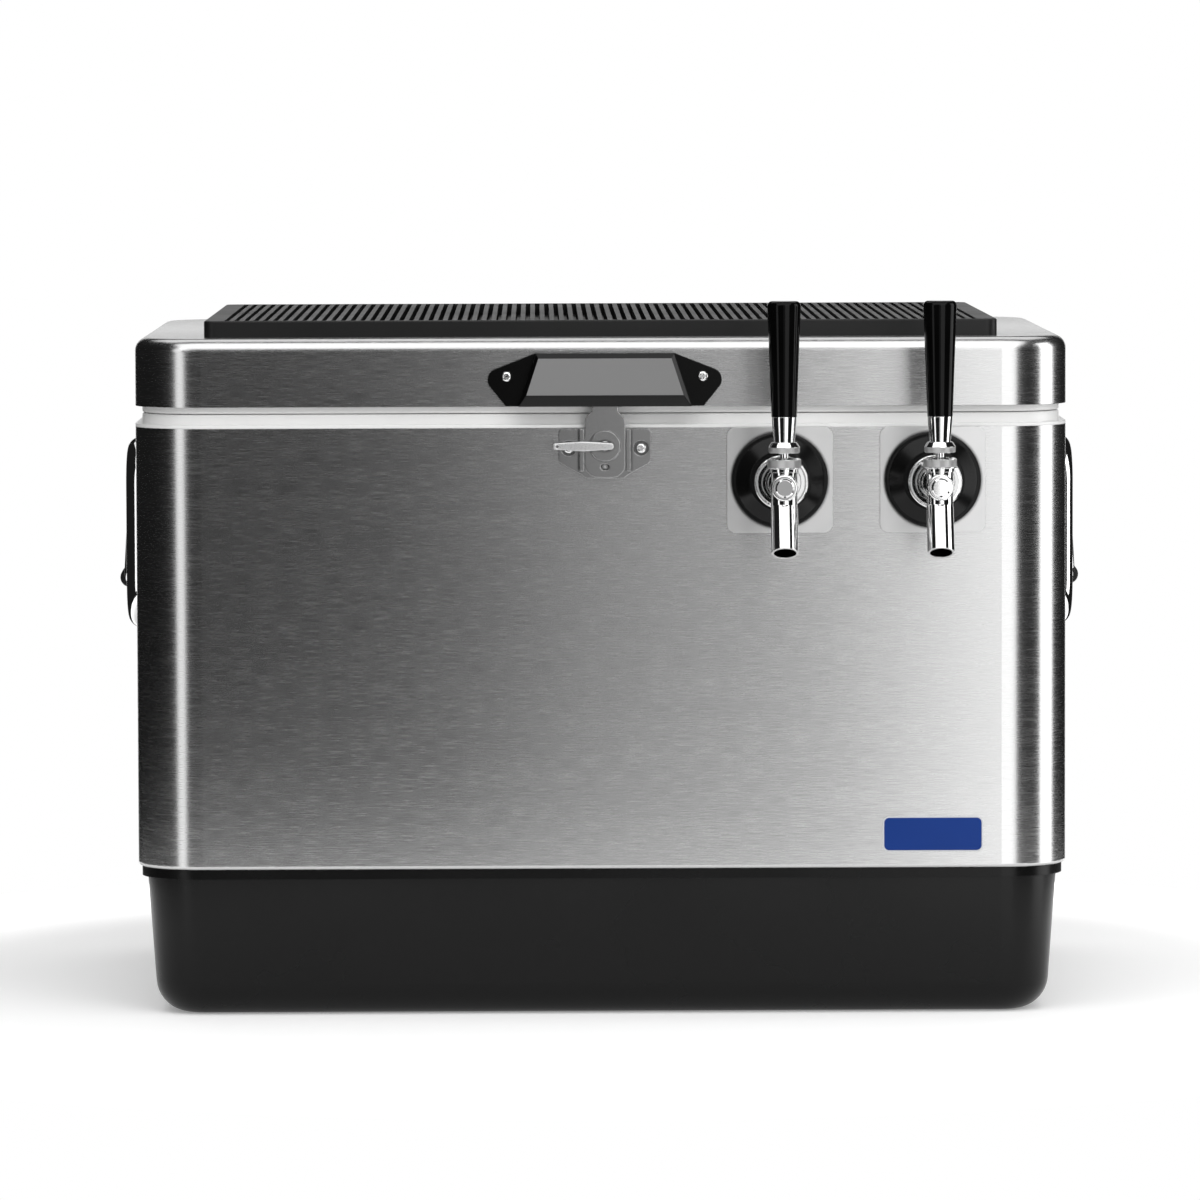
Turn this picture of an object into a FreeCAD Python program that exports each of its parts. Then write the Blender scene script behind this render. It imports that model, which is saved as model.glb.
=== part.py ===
"""Jockey box beer cooler: an insulated steel cooler with two taps, cooling coils and a drip tray.

Millimetres. The origin is the centre of the footprint on the floor, +Z is up,
and the front, which carries the taps and the latch, faces -Y.
"""
import FreeCAD, Part

import math
import os
import re

import Sketcher

os.makedirs("parts", exist_ok=True)

Vector = FreeCAD.Vector
Rotation = FreeCAD.Rotation

doc = FreeCAD.newDocument("JockeyBox")
sheet = doc.addObject("Spreadsheet::Sheet", "Sizes")

SIZES = {
    # Case
    "body_width": 576.0,
    "body_depth": 400.0,
    "body_corner": 42.0,
    "steel_thickness": 0.8,
    "jacket_bottom": 91.5,
    "jacket_height": 272.5,
    "hem_width": 6.0,
    "hem_round": 2.5,
    # Base tub
    "tub_rim_recess": 2.3,
    "tub_rim_height": 6.0,
    "tub_step": 3.5,
    "tub_draft": 4.1,
    "tub_wall": 3.0,
    "tub_bottom_round": 21.0,
    # Liner and collar
    "collar_recess": 4.3,
    "collar_height": 8.5,
    "collar_lip_height": 2.0,
    "collar_round": 1.2,
    "side_wall": 36.0,
    "end_wall": 35.0,
    "cavity_corner": 30.0,
    "floor_drop": 29.0,
    "cavity_floor_round": 6.0,
    "liner_wall": 2.5,
    # Lid
    "lid_gap": 0.4,
    "lid_rim_height": 4.1,
    "lid_height": 42.0,
    "lid_edge_round": 8.0,
    "lid_pan_wall": 2.5,
    "lid_plug_depth": 12.0,
    "lid_plug_clearance": 3.0,
    "gasket_inset": 9.0,
    "gasket_width": 6.0,
    "gasket_height": 2.2,
    # Drip tray
    "tray_side_margin": 43.0,
    "tray_end_margin": 27.5,
    "tray_shift": 1.5,
    "tray_height": 10.2,
    "tray_floor": 2.6,
    "tray_corner": 7.0,
    "tray_edge_round": 1.0,
    "groove_pitch": 6.0,
    "groove_width": 3.0,
    "groove_margin": 10.0,
    "tray_end_wall": 4.0,
    # Latch
    "latch_place": 2.2,
    "cover_top_width": 84.4,
    "cover_tip_width": 152.4,
    "cover_foot_width": 121.5,
    "cover_height": 32.6,
    "cover_tip_height": 19.2,
    "cover_tip_round": 7.0,
    "cover_gap": 0.4,
    "cover_wing_depth": 2.5,
    "cover_depth": 13.0,
    "cover_bevel": 2.6,
    "cover_wall": 2.3,
    "cover_block_foot": 106.0,
    "cover_face_top": 81.5,
    "cover_face_foot": 96.0,
    "cover_face_drop": 3.2,
    "cover_face_rise": 7.2,
    "cover_screw_inset": 16.1,
    "cover_screw_height": 18.2,
    "cover_slot_width": 19.0,
    "hasp_axis_height": 3.2,
    "hasp_axis_depth": 4.8,
    "hasp_thickness": 1.6,
    "hasp_neck_width": 15.8,
    "hasp_width": 24.8,
    "hasp_shoulder_top": 6.3,
    "hasp_shoulder_foot": 10.4,
    "hasp_shoulder_round": 8.0,
    "hasp_length": 47.0,
    "hasp_foot_round": 8.0,
    "hasp_knuckle_diameter": 6.0,
    "hasp_pin_diameter": 3.0,
    "hasp_hole_width": 5.3,
    "hasp_hole_height": 3.6,
    "hasp_hole_drop": 40.6,
    "hinge_play": 0.05,
    "bracket_thickness": 1.2,
    "bracket_ear": 2.0,
    "bracket_ear_gap": 0.4,
    "bracket_height": 13.0,
    "catch_width": 57.0,
    "catch_height": 30.6,
    "catch_top_drop": 0.6,
    "catch_straight": 20.5,
    "catch_shoulder_width": 29.0,
    "catch_shoulder_height": 28.2,
    "catch_thickness": 1.2,
    "catch_lip_gap": 0.45,
    "catch_lip_width": 2.9,
    "catch_lip_thickness": 1.2,
    "catch_wall": 1.2,
    "catch_lip_height": 26.0,
    "catch_screw_inset": 6.3,
    "catch_screw_drop": 12.0,
    "catch_dimple_diameter": 9.2,
    "catch_dimple_depth": 0.6,
    "lever_drop": 27.6,
    "lever_axle_diameter": 6.0,
    "lever_left_reach": 32.0,
    "lever_right_reach": 5.2,
    "lever_height": 6.0,
    "lever_end_height": 3.6,
    "lever_thickness": 4.2,
    "lever_standoff": 1.4,
    "disc_diameter": 18.8,
    "disc_height": 0.5,
    "cam_bite": 1.8,
    "cam_width": 5.6,
    "cam_thickness": 1.4,
    "cam_gap": 0.3,
    # Rear hinges
    "hinge_spacing": 340.0,
    "hinge_leaf_width": 60.0,
    "hinge_leaf_height": 30.0,
    "hinge_leaf_thickness": 1.8,
    "hinge_knuckle_diameter": 8.0,
    "hinge_pin_diameter": 4.0,
    "hinge_lid_knuckle": 20.0,
    "hinge_knuckle_gap": 0.3,
    "hinge_offset": 4.5,
    "hinge_screw_spacing": 36.0,
    "hinge_screw_edge": 9.0,
    # Pan-head screws
    "screw_head_diameter": 6.6,
    "screw_head_height": 2.2,
    "screw_diameter": 3.6,
    "screw_length": 9.0,
    "screw_recess": 3.4,
    "screw_recess_width": 0.9,
    "screw_recess_depth": 1.2,
    # Faucets
    "tap_side_margin": 84.5,
    "tap_spacing": 94.0,
    "tap_drop": 32.5,
    "plate_size": 65.0,
    "plate_corner": 5.5,
    "plate_thickness": 1.2,
    "flange_diameter": 59.0,
    "flange_rim_thickness": 3.6,
    "flange_cone_diameter": 54.0,
    "flange_face_diameter": 37.0,
    "flange_thickness": 11.0,
    "flange_round": 1.2,
    "shank_diameter": 22.2,
    "shank_bore": 8.0,
    "shank_front": 22.0,
    "shank_inside": 20.0,
    "shank_play": 0.15,
    "nut_across": 32.0,
    "nut_thickness": 8.0,
    "coupling_diameter": 33.0,
    "coupling_length": 18.0,
    "coupling_lip": 2.0,
    "coupling_dish": 4.0,
    "coupling_rim": 1.2,
    "coupling_round": 1.0,
    "tail_diameter": 26.8,
    "tail_thickness": 3.4,
    "neck_diameter": 23.0,
    "neck_front_diameter": 17.0,
    "tap_reach": 83.0,
    "barrel_diameter": 16.0,
    "barrel_top": 11.2,
    "barrel_foot": 16.5,
    "collar_seat_diameter": 17.4,
    "nose_diameter": 16.0,
    "nose_reach": 9.0,
    "spout_diameter": 16.4,
    "spout_bore": 13.6,
    "spout_tilt": 27.0,
    "spout_start": 12.5,
    "spout_length": 30.0,
    "chamber_diameter": 9.8,
    "socket_diameter": 12.6,
    "socket_depth": 10.0,
    "valve_seat_diameter": 6.8,
    "valve_seat_place": 12.0,
    "valve_seat_length": 2.0,
    "plug_thickness": 3.2,
    "plug_button_diameter": 11.5,
    "plug_button_height": 1.3,
    "plug_button_bevel": 1.0,
    "plug_stem_length": 3.0,
    "bonnet_diameter": 20.4,
    "bonnet_height": 6.5,
    "bonnet_straight": 5.6,
    "bonnet_top_diameter": 16.4,
    "bonnet_mouth_diameter": 11.4,
    "bonnet_chamfer": 0.6,
    "pivot_height": 11.5,
    "ball_diameter": 10.8,
    "ball_play": 0.1,
    "stem_diameter": 5.2,
    "tail_pin_diameter": 2.4,
    "tail_ball_diameter": 3.2,
    "tail_ball_drop": 8.4,
    "knurl_diameter": 18.9,
    "knurl_bottom": 9.1,
    "knurl_shoulder": 0.6,
    "knurl_foot_diameter": 17.6,
    "knurl_height": 3.7,
    "knurl_top_diameter": 15.2,
    "knurl_top_height": 2.8,
    "ferrule_foot_diameter": 12.7,
    "ferrule_top_diameter": 15.4,
    "ferrule_height": 15.4,
    "handle_top_diameter": 20.2,
    "handle_height": 69.8,
    "handle_round": 3.4,
    "stud_diameter": 7.9,
    "stud_depth": 12.0,
    "shaft_rod_diameter": 2.4,
    "shaft_disc_diameter": 9.2,
    "shaft_disc_thickness": 2.0,
    "shaft_slot_play": 0.15,
    "valve_head_thickness": 3.0,
    # Inlets
    "inlet_margin": 47.0,
    "inlet_rise": 28.5,
    "inlet_thread_length": 18.0,
    "thread_relief": 1.0,
    "thread_relief_diameter": 21.2,
    "inlet_collar_diameter": 27.0,
    "inlet_collar_thickness": 2.0,
    "inlet_flange_diameter": 44.0,
    "inlet_flange_thickness": 5.0,
    # Coils
    "coil_middle_gap": 12.5,
    "coil_side_gap": 32.5,
    "coil_end_gap": 61.5,
    "coil_turn_gap": 0.66,
    "coil_headroom": 50.0,
    "coil_tube": 7.94,
    "coil_foot": 6.0,
    "coil_foot_drop": 1.2,
    "coil_bend": 20.0,
    "coil_play": 0.35,
    "coil_post_thickness": 2.7,
    "coil_post_width": 12.0,
    "union_across": 28.0,
    "union_length": 17.0,
    "union_overlap": 5.0,
    "tube_play": 0.05,
    # Side handles
    "frame_width": 150.0,
    "frame_height": 121.5,
    "frame_top_gap": 11.6,
    "frame_depth": 11.2,
    "frame_border": 18.0,
    "frame_corner": 30.0,
    "frame_round": 8.7,
    "frame_inner_round": 2.0,
    "frame_sheet": 2.0,
    "frame_hollow_inset": 7.0,
    "frame_pivot_depth": 10.0,
    "frame_access": 9.0,
    "bail_axis_drop": 26.4,
    "bail_axis_depth": 7.2,
    "bail_wire": 6.0,
    "bail_gap": 7.0,
    "bail_drop": 64.0,
    "bail_bend": 9.0,
    "bail_stub": 10.5,
    "bail_end_bend": 5.0,
    "grip_depth": 10.8,
    "grip_diameter": 13.2,
    "grip_end_diameter": 12.3,
    "grip_end_gap": 14.0,
    "grip_round": 2.5,
    "handle_screw_inset": 27.0,
    "handle_screw_length": 9.0,
    # Drain
    "drain_rise": 14.5,
    "drain_diameter": 12.0,
    "drain_bore": 9.0,
    "drain_flange_diameter": 15.4,
    "drain_flange_thickness": 2.0,
    "drain_boss_diameter": 17.0,
    "drain_boss_recess": 4.5,
    "drain_boss_depth": 3.6,
    "drain_inside_flange": 1.5,
    "plug_cap_diameter": 15.0,
    "plug_cap_height": 8.0,
    "plug_stem_play": 0.08,
    "plug_stem": 16.0,
}

for row, (size_name, number) in enumerate(SIZES.items(), start=1):
    sheet.set(f"A{row}", size_name)
    sheet.set(f"B{row}", str(number))
    sheet.setAlias(f"B{row}", size_name)
doc.recompute()

# Sizes and places worked out from the ones above, as expressions
PLACES = {
    # Case and lid
    "front": "-body_depth / 2",
    "rear": "body_depth / 2",
    "side": "body_width / 2",
    "jacket_top": "jacket_bottom + jacket_height",
    "collar_top": "jacket_top + collar_height",
    "lid_base": "collar_top + lid_gap",
    "lid_steel_base": "lid_base + lid_rim_height",
    "lid_top": "lid_steel_base + lid_height",
    "foam_base": "jacket_bottom + hem_round",
    "tub_width": "body_width - 2 * tub_rim_recess - 2 * tub_step",
    "tub_depth": "body_depth - 2 * tub_rim_recess - 2 * tub_step",
    "tub_corner": "body_corner - tub_rim_recess - tub_step",
    "cavity_width": "body_width - 2 * side_wall",
    "cavity_depth": "body_depth - 2 * end_wall",
    "cavity_floor": "jacket_bottom - floor_drop",
    "drain_height": "cavity_floor + drain_rise",
    "tray_width": "body_width - 2 * tray_side_margin",
    "tray_depth": "body_depth - 2 * tray_end_margin",
    "groove_count": "floor((tray_width - 2 * groove_margin) / groove_pitch)",
    # Latch and rear hinges
    "cover_foot": "lid_steel_base + cover_gap",
    "cover_screw_spacing": "cover_tip_width - 2 * cover_screw_inset",
    "catch_screw_spacing": "catch_width - 2 * catch_screw_inset",
    "hasp_axis_z": "cover_foot + hasp_axis_height",
    "hasp_axis_y": "front - hasp_axis_depth",
    "catch_top": "jacket_top - catch_top_drop",
    "lever_z": "hasp_axis_z - lever_drop",
    "cam_length": "hasp_width + 2 * cam_bite",
    "hinge_y": "rear + hinge_offset",
    "hinge_z": "collar_top + lid_gap / 2",
    "body_leaf_foot": "jacket_top - hinge_leaf_height",
    "lid_leaf_top": "lid_steel_base + hinge_leaf_height",
    # Taps, inlets and coils
    "tap_right_place": "side - tap_side_margin",
    "tap_left_place": "tap_right_place - tap_spacing",
    "tap_height": "jacket_top - tap_drop",
    "thread_hole": "shank_diameter + 2 * shank_play",
    "inlet_place": "cavity_width / 2 - inlet_margin",
    "inlet_height": "jacket_bottom + inlet_rise",
    "coil_place": "(coil_middle_gap + cavity_width / 2 - coil_side_gap) / 2",
    "coil_radius": "min(coil_place - coil_middle_gap, cavity_depth / 2 - coil_end_gap)",
    "coil_pitch": "coil_tube + coil_turn_gap",
    "coil_base": "cavity_floor + coil_foot + coil_tube / 2",
    "coil_turns": "floor((tap_height - coil_base - coil_headroom) / coil_pitch)",
    # Side handles
    "frame_bottom": "jacket_top - frame_top_gap - frame_height",
    "handle_screw_spacing": "frame_width - 2 * handle_screw_inset",
    "bail_axis_height": "frame_bottom + frame_height - bail_axis_drop",
    "bail_span": "frame_width - 2 * frame_border - 2 * bail_gap",
    "grip_length": "bail_span - 2 * grip_end_gap",
}

NAMES = re.compile(r"\b(" + "|".join([*SIZES, *PLACES]) + r")\b")
TAPS = {"left": "tap_left_place", "right": "tap_right_place"}
SIDES = {"left": -1, "right": 1}
subparts = []


def bound(text):
    """The expression with its places worked out and every size's name pointed at the sheet."""
    def full(match):
        name = match[0]
        return f"Sizes.{name}" if name in SIZES else f"({bound(PLACES[name])})"
    return NAMES.sub(full, str(text))


def value(text):
    """The number that an expression gives now."""
    return float(sheet.evalExpression(bound(text)))


def point(x, y, z):
    return Vector(value(x), value(y), value(z))


def bind(item, **sizes):
    """Binds each named property to its expression."""
    for name, text in sizes.items():
        item.setExpression(name, bound(text))


def place(item, x="0", y="0", z="0", turn=None):
    """Puts an object at bound coordinates, turned by a fixed rotation."""
    item.Placement = FreeCAD.Placement(point(x, y, z), turn or Rotation())
    for letter, text in zip("xyz", (x, y, z)):
        item.setExpression(f".Placement.Base.{letter}", bound(text))
    return item


# Turns that point a piece's own +Z outward from a wall
OUT_FRONT = Rotation(Vector(1, 0, 0), 90)
OUT_REAR = Rotation(Vector(1, 0, 0), -90)
OUT_RIGHT = Rotation(Vector(0, 1, 0), 90)
OUT_LEFT = Rotation(Vector(0, 1, 0), -90)
ALONG_X = Rotation(Vector(0, 1, 0), 90)


def subpart(item, label):
    """Names a finished piece and puts it on the list of files."""
    item.Label = label
    subparts.append(item)
    return item


def new_body(name):
    return doc.addObject("PartDesign::Body", name)


def new_sketch(body, name, plane, offset):
    """A sketch on one of the body's origin planes, moved along its normal."""
    sketch = body.newObject("Sketcher::SketchObject", name)
    origin = [f for f in body.Origin.OriginFeatures if f.Role == plane][0]
    sketch.AttachmentSupport = [(origin, "")]
    sketch.MapMode = "FlatFace"
    sketch.setExpression(".AttachmentOffset.Base.z", bound(offset))
    return sketch


def outline(body, name, plane, corners, offset="0", hole=None):
    """A closed outline through corners (x, y) or (x, y, rounding), with a hole's outline if given."""
    sketch = new_sketch(body, name, plane, offset)
    add_loop(sketch, corners)
    if hole:
        add_loop(sketch, hole)
    return sketch


def add_loop(sketch, corners):
    """Draws one closed loop, with every corner and rounding bound to the sizes."""
    spots = [Vector(value(c[0]), value(c[1]), 0) for c in corners]
    count = len(spots)
    base = sketch.GeometryCount
    rule_base = sketch.ConstraintCount
    arrive, leave, arcs = list(spots), list(spots), {}
    for i, corner in enumerate(corners):
        if len(corner) < 3:
            continue
        radius = value(corner[2])
        back = (spots[i - 1] - spots[i]).normalize()
        ahead = (spots[(i + 1) % count] - spots[i]).normalize()
        half = back.getAngle(ahead) / 2
        reach = radius / math.tan(half)
        arrive[i] = spots[i] + back * reach
        leave[i] = spots[i] + ahead * reach
        centre = spots[i] + (back + ahead).normalize() * (radius / math.sin(half))
        anticlockwise = back.cross(ahead).z < 0
        first, last = (arrive[i], leave[i]) if anticlockwise else (leave[i], arrive[i])
        start = math.atan2(first.y - centre.y, first.x - centre.x)
        end = math.atan2(last.y - centre.y, last.x - centre.x)
        if end < start:
            end += 2 * math.pi
        circle = Part.Circle(centre, Vector(0, 0, 1), radius)
        arcs[i] = (Part.ArcOfCircle(circle, start, end), anticlockwise)
    for i in range(count):
        sketch.addGeometry(Part.LineSegment(leave[i], arrive[(i + 1) % count]), False)
    rules, texts = [], {}

    def fix(geometry, corner, spot):
        texts[rule_base + len(rules)] = corner[0]
        rules.append(Sketcher.Constraint("DistanceX", -1, 1, geometry, 1, spot.x))
        texts[rule_base + len(rules)] = corner[1]
        rules.append(Sketcher.Constraint("DistanceY", -1, 1, geometry, 1, spot.y))

    for i, corner in enumerate(corners):
        before, after = base + (i - 1) % count, base + i
        if i not in arcs:
            rules.append(Sketcher.Constraint("Coincident", before, 2, after, 1))
            fix(after, corner, spots[i])
            continue
        arc = sketch.addGeometry(arcs[i][0], False)
        vertex = sketch.addGeometry(Part.Point(spots[i]), True)
        fix(vertex, corner, spots[i])
        start, end = (1, 2) if arcs[i][1] else (2, 1)
        rules.append(Sketcher.Constraint("PointOnObject", vertex, 1, before))
        rules.append(Sketcher.Constraint("PointOnObject", vertex, 1, after))
        rules.append(Sketcher.Constraint("Tangent", before, 2, arc, start))
        rules.append(Sketcher.Constraint("Tangent", after, 1, arc, end))
        texts[rule_base + len(rules)] = corner[2]
        rules.append(Sketcher.Constraint("Radius", arc, value(corner[2])))
    sketch.addConstraint(rules)
    for index, text in texts.items():
        sketch.setExpression(f"Constraints[{index}]", bound(text))


def circles(body, name, plane, spots, offset="0"):
    """A sketch of circles (x, y, diameter), all bound."""
    sketch = new_sketch(body, name, plane, offset)
    for index, (x, y, diameter) in enumerate(spots):
        centre = Vector(value(x), value(y), 0)
        radius = value(diameter) / 2
        sketch.addGeometry(Part.Circle(centre, Vector(0, 0, 1), radius), False)
        sketch.addConstraint([
            Sketcher.Constraint("DistanceX", -1, 1, index, 3, centre.x),
            Sketcher.Constraint("DistanceY", -1, 1, index, 3, centre.y),
            Sketcher.Constraint("Diameter", index, 2 * radius),
        ])
        for step, text in enumerate((x, y, diameter)):
            sketch.setExpression(f"Constraints[{3 * index + step}]", bound(text))
    return sketch


def box_corners(width, depth, rounding=None, x="0", y="0"):
    """Corners of a rectangle about (x, y), rounded or sharp."""
    signs = ((-1, -1), (1, -1), (1, 1), (-1, 1))
    tail = (rounding,) if rounding else ()
    return [(f"{x} + {i} * ({width}) / 2", f"{y} + {j} * ({depth}) / 2") + tail for i, j in signs]


def pad(body, sketch, length, down=False, draft=None, both=False):
    item = body.newObject("PartDesign::Pad", "Pad")
    item.Profile = sketch
    item.Reversed = down
    item.Midplane = both
    item.setExpression("Length", bound(length))
    if draft:
        item.setExpression("TaperAngle", bound(f"-({draft})"))
    doc.recompute()
    return item


def pocket(body, sketch, length=None, down=True, draft=None, both=False):
    """Cuts a sketch's shape: down is against the sketch's normal, and no length cuts through all."""
    item = body.newObject("PartDesign::Pocket", "Pocket")
    item.Profile = sketch
    item.Reversed = not down
    item.Midplane = both
    if length is None:
        item.Type = "ThroughAll"
    else:
        item.setExpression("Length", bound(length))
    if draft:
        item.setExpression("TaperAngle", bound(f"-({draft})"))
    doc.recompute()
    return item


def loft(body, first, second, cut=False):
    kind = "PartDesign::SubtractiveLoft" if cut else "PartDesign::AdditiveLoft"
    item = body.newObject(kind, "Loft")
    item.Profile = first
    item.Sections = [second]
    doc.recompute()
    return item


def fillet(body, radius, chosen, kind="PartDesign::Fillet"):
    """Rounds the edges of the body's tip that chosen(edge) picks."""
    base = body.Tip
    names = [f"Edge{i + 1}" for i, edge in enumerate(base.Shape.Edges) if chosen(edge)]
    if not names:
        raise ValueError(f"{body.Name} has no edge to round")
    item = body.newObject(kind, "Round")
    item.Base = (base, names)
    item.setExpression("Radius" if kind.endswith("Fillet") else "Size", bound(radius))
    doc.recompute()
    return item


def level(axis, text, outside=None):
    """Picks edges lying wholly at one level of an axis, and outside a half width of Y where given."""
    spot = value(text)
    limit = value(outside) if outside else None

    def chosen(edge):
        box = edge.BoundBox
        low, high = getattr(box, f"{axis}Min"), getattr(box, f"{axis}Max")
        if abs(low - spot) > 0.01 or abs(high - spot) > 0.01:
            return False
        return limit is None or max(abs(box.YMin), abs(box.YMax)) > limit
    return chosen


def turned(name, profile, x="0", y="0", z="0", turn=None):
    """A lathe-turned body: corners are (radius, height along the axis)."""
    body = new_body(name)
    sketch = outline(body, f"{name}_profile", "XZ_Plane", profile)
    spin = body.newObject("PartDesign::Revolution", "Spin")
    spin.Profile = sketch
    spin.ReferenceAxis = (sketch, ["V_Axis"])
    spin.Angle = 360
    doc.recompute()
    return place(body, x, y, z, turn)


def cylinder(name, diameter, length, x="0", y="0", z="0", turn=None):
    item = doc.addObject("Part::Cylinder", name)
    bind(item, Radius=f"({diameter}) / 2", Height=length)
    return place(item, x, y, z, turn)


def block(name, width, depth, height, x="0", y="0", z="0"):
    item = doc.addObject("Part::Box", name)
    bind(item, Length=width, Width=depth, Height=height)
    return place(item, x, y, z)


def joined(name, *items):
    item = doc.addObject("Part::MultiFuse", name)
    item.Shapes = list(items)
    return item


def cut(name, base, tool):
    item = doc.addObject("Part::Cut", name)
    item.Base = base
    item.Tool = tool
    return item


def group(label, master, places):
    """Separate copies of one solid, each at its own placement, as one file."""
    doc.recompute()
    shape = master.Shape.copy()
    shape.Placement = FreeCAD.Placement()
    copies = []
    for spot, turn in places:
        one = shape.copy()
        one.Placement = FreeCAD.Placement(spot, turn)
        copies.append(one)
    item = doc.addObject("Part::Feature", label)
    item.Shape = Part.makeCompound(copies)
    return subpart(item, label)


# Places of the screws, as (x or y, z) expressions
catch_screws = [
    (f"latch_place + {i} * catch_screw_spacing / 2", "catch_top - catch_screw_drop")
    for i in (-1, 1)
]
cover_screws = [
    (f"latch_place + {i} * cover_screw_spacing / 2", "cover_foot + cover_screw_height")
    for i in (-1, 1)
]
hinge_screw_columns = [
    f"{i} * hinge_spacing / 2 + {j} * hinge_screw_spacing / 2" for i in (-1, 1) for j in (-1, 1)
]
body_hinge_screws = [(x, "body_leaf_foot + hinge_screw_edge") for x in hinge_screw_columns]
lid_hinge_screws = [(x, "lid_leaf_top - hinge_screw_edge") for x in hinge_screw_columns]
handle_screws = [
    (f"{i} * handle_screw_spacing / 2", f"frame_bottom + {z}")
    for i in (-1, 1)
    for z in ("frame_border / 2", "frame_height - frame_border / 2")
]
front_shanks = [(x, "tap_height") for x in TAPS.values()]
rear_shanks = [(f"{sign} * inlet_place", "inlet_height") for sign in SIDES.values()]


def holes(body, plane, spots, diameter, start, forward=False):
    """Drills a row of holes outward from a plane offset by start, through what lies beyond."""
    sketch = circles(body, "Holes", plane, [(x, z, diameter) for x, z in spots], start)
    return pocket(body, sketch, None, down=not forward)


def base_tub():
    """Black moulded tub round the foot of the case, with a rim that carries the steel."""
    body = new_body("base_tub")
    rim = outline(body, "Rim", "XY_Plane", box_corners(
        "body_width - 2 * tub_rim_recess", "body_depth - 2 * tub_rim_recess",
        "body_corner - tub_rim_recess"), "jacket_bottom - tub_rim_height")
    pad(body, rim, "tub_rim_height")
    shell = outline(body, "Shell", "XY_Plane", box_corners("tub_width", "tub_depth", "tub_corner"),
                    "jacket_bottom - tub_rim_height")
    pad(body, shell, "jacket_bottom - tub_rim_height", down=True, draft="tub_draft")
    hollow = outline(body, "Hollow", "XY_Plane", box_corners(
        "tub_width - 2 * tub_wall", "tub_depth - 2 * tub_wall",
        "tub_corner - tub_wall"), "jacket_bottom")
    pocket(body, hollow, "jacket_bottom - tub_wall", draft="tub_draft")
    fillet(body, "tub_bottom_round - tub_wall", level("Z", "tub_wall"))
    fillet(body, "tub_bottom_round", level("Z", "0"))
    boss = circles(body, "Boss", "XZ_Plane", [("0", "drain_height", "drain_boss_diameter")],
                   "-(rear - drain_boss_recess)")
    pad(body, boss, "drain_boss_depth")
    holes(body, "XZ_Plane", [("0", "drain_height")], "drain_diameter + 2 * shank_play", "0", False)
    return subpart(body, "base_tub")


def body_jacket():
    """Brushed steel wrap of the case, turned in at its foot."""
    body = new_body("body_jacket")
    wrap = outline(body, "Wrap", "XY_Plane", box_corners("body_width", "body_depth", "body_corner"),
                   "jacket_bottom")
    pad(body, wrap, "jacket_height")
    fillet(body, "hem_round", level("Z", "jacket_bottom"))
    inside = outline(body, "Inside", "XY_Plane", box_corners(
        "body_width - 2 * steel_thickness", "body_depth - 2 * steel_thickness",
        "body_corner - steel_thickness"), "jacket_top")
    pocket(body, inside, "jacket_height - steel_thickness")
    fillet(body, "hem_round - steel_thickness", level("Z", "jacket_bottom + steel_thickness"))
    hem = outline(body, "Hem", "XY_Plane", box_corners(
        "body_width - 2 * hem_width", "body_depth - 2 * hem_width", "body_corner - hem_width"),
        "jacket_top")
    pocket(body, hem)
    holes(body, "XZ_Plane", front_shanks, "thread_hole", "0", True)
    holes(body, "XZ_Plane", catch_screws, "screw_diameter", "0", True)
    holes(body, "XZ_Plane", rear_shanks, "thread_hole", "0", False)
    holes(body, "XZ_Plane", body_hinge_screws, "screw_diameter", "0", False)
    sides = circles(body, "SideHoles", "YZ_Plane", [(y, z, "screw_diameter") for y, z in handle_screws])
    pocket(body, sides, "2 * body_width", both=True)
    return subpart(body, "body_jacket")


def liner():
    """White one-piece liner: the ice well, and the collar that shows under the lid."""
    body = new_body("liner")
    well = outline(body, "Well", "XY_Plane", box_corners(
        "cavity_width + 2 * liner_wall", "cavity_depth + 2 * liner_wall",
        "cavity_corner + liner_wall"), "cavity_floor - liner_wall")
    pad(body, well, "collar_top - cavity_floor + liner_wall")
    fillet(body, "cavity_floor_round + liner_wall", level("Z", "cavity_floor - liner_wall"))
    rim = outline(body, "Collar", "XY_Plane", box_corners(
        "body_width - 2 * collar_recess", "body_depth - 2 * collar_recess",
        "body_corner - collar_recess"), "jacket_top")
    pad(body, rim, "collar_height")
    fillet(body, "collar_round", level("Z", "collar_top", "body_depth / 2 - 2 * collar_recess"))
    lip = outline(body, "Lip", "XY_Plane", box_corners("body_width", "body_depth", "body_corner"),
                  "jacket_top")
    pad(body, lip, "collar_lip_height")
    cavity = outline(body, "Cavity", "XY_Plane", box_corners(
        "cavity_width", "cavity_depth", "cavity_corner"), "collar_top")
    pocket(body, cavity, "collar_top - cavity_floor")
    fillet(body, "cavity_floor_round", level("Z", "cavity_floor"))
    holes(body, "XZ_Plane", front_shanks, "thread_hole", "0", True)
    holes(body, "XZ_Plane", rear_shanks, "thread_hole", "0", False)
    holes(body, "XZ_Plane", [("0", "drain_height")], "drain_diameter + 2 * shank_play", "0", False)
    return subpart(body, "liner")


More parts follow.
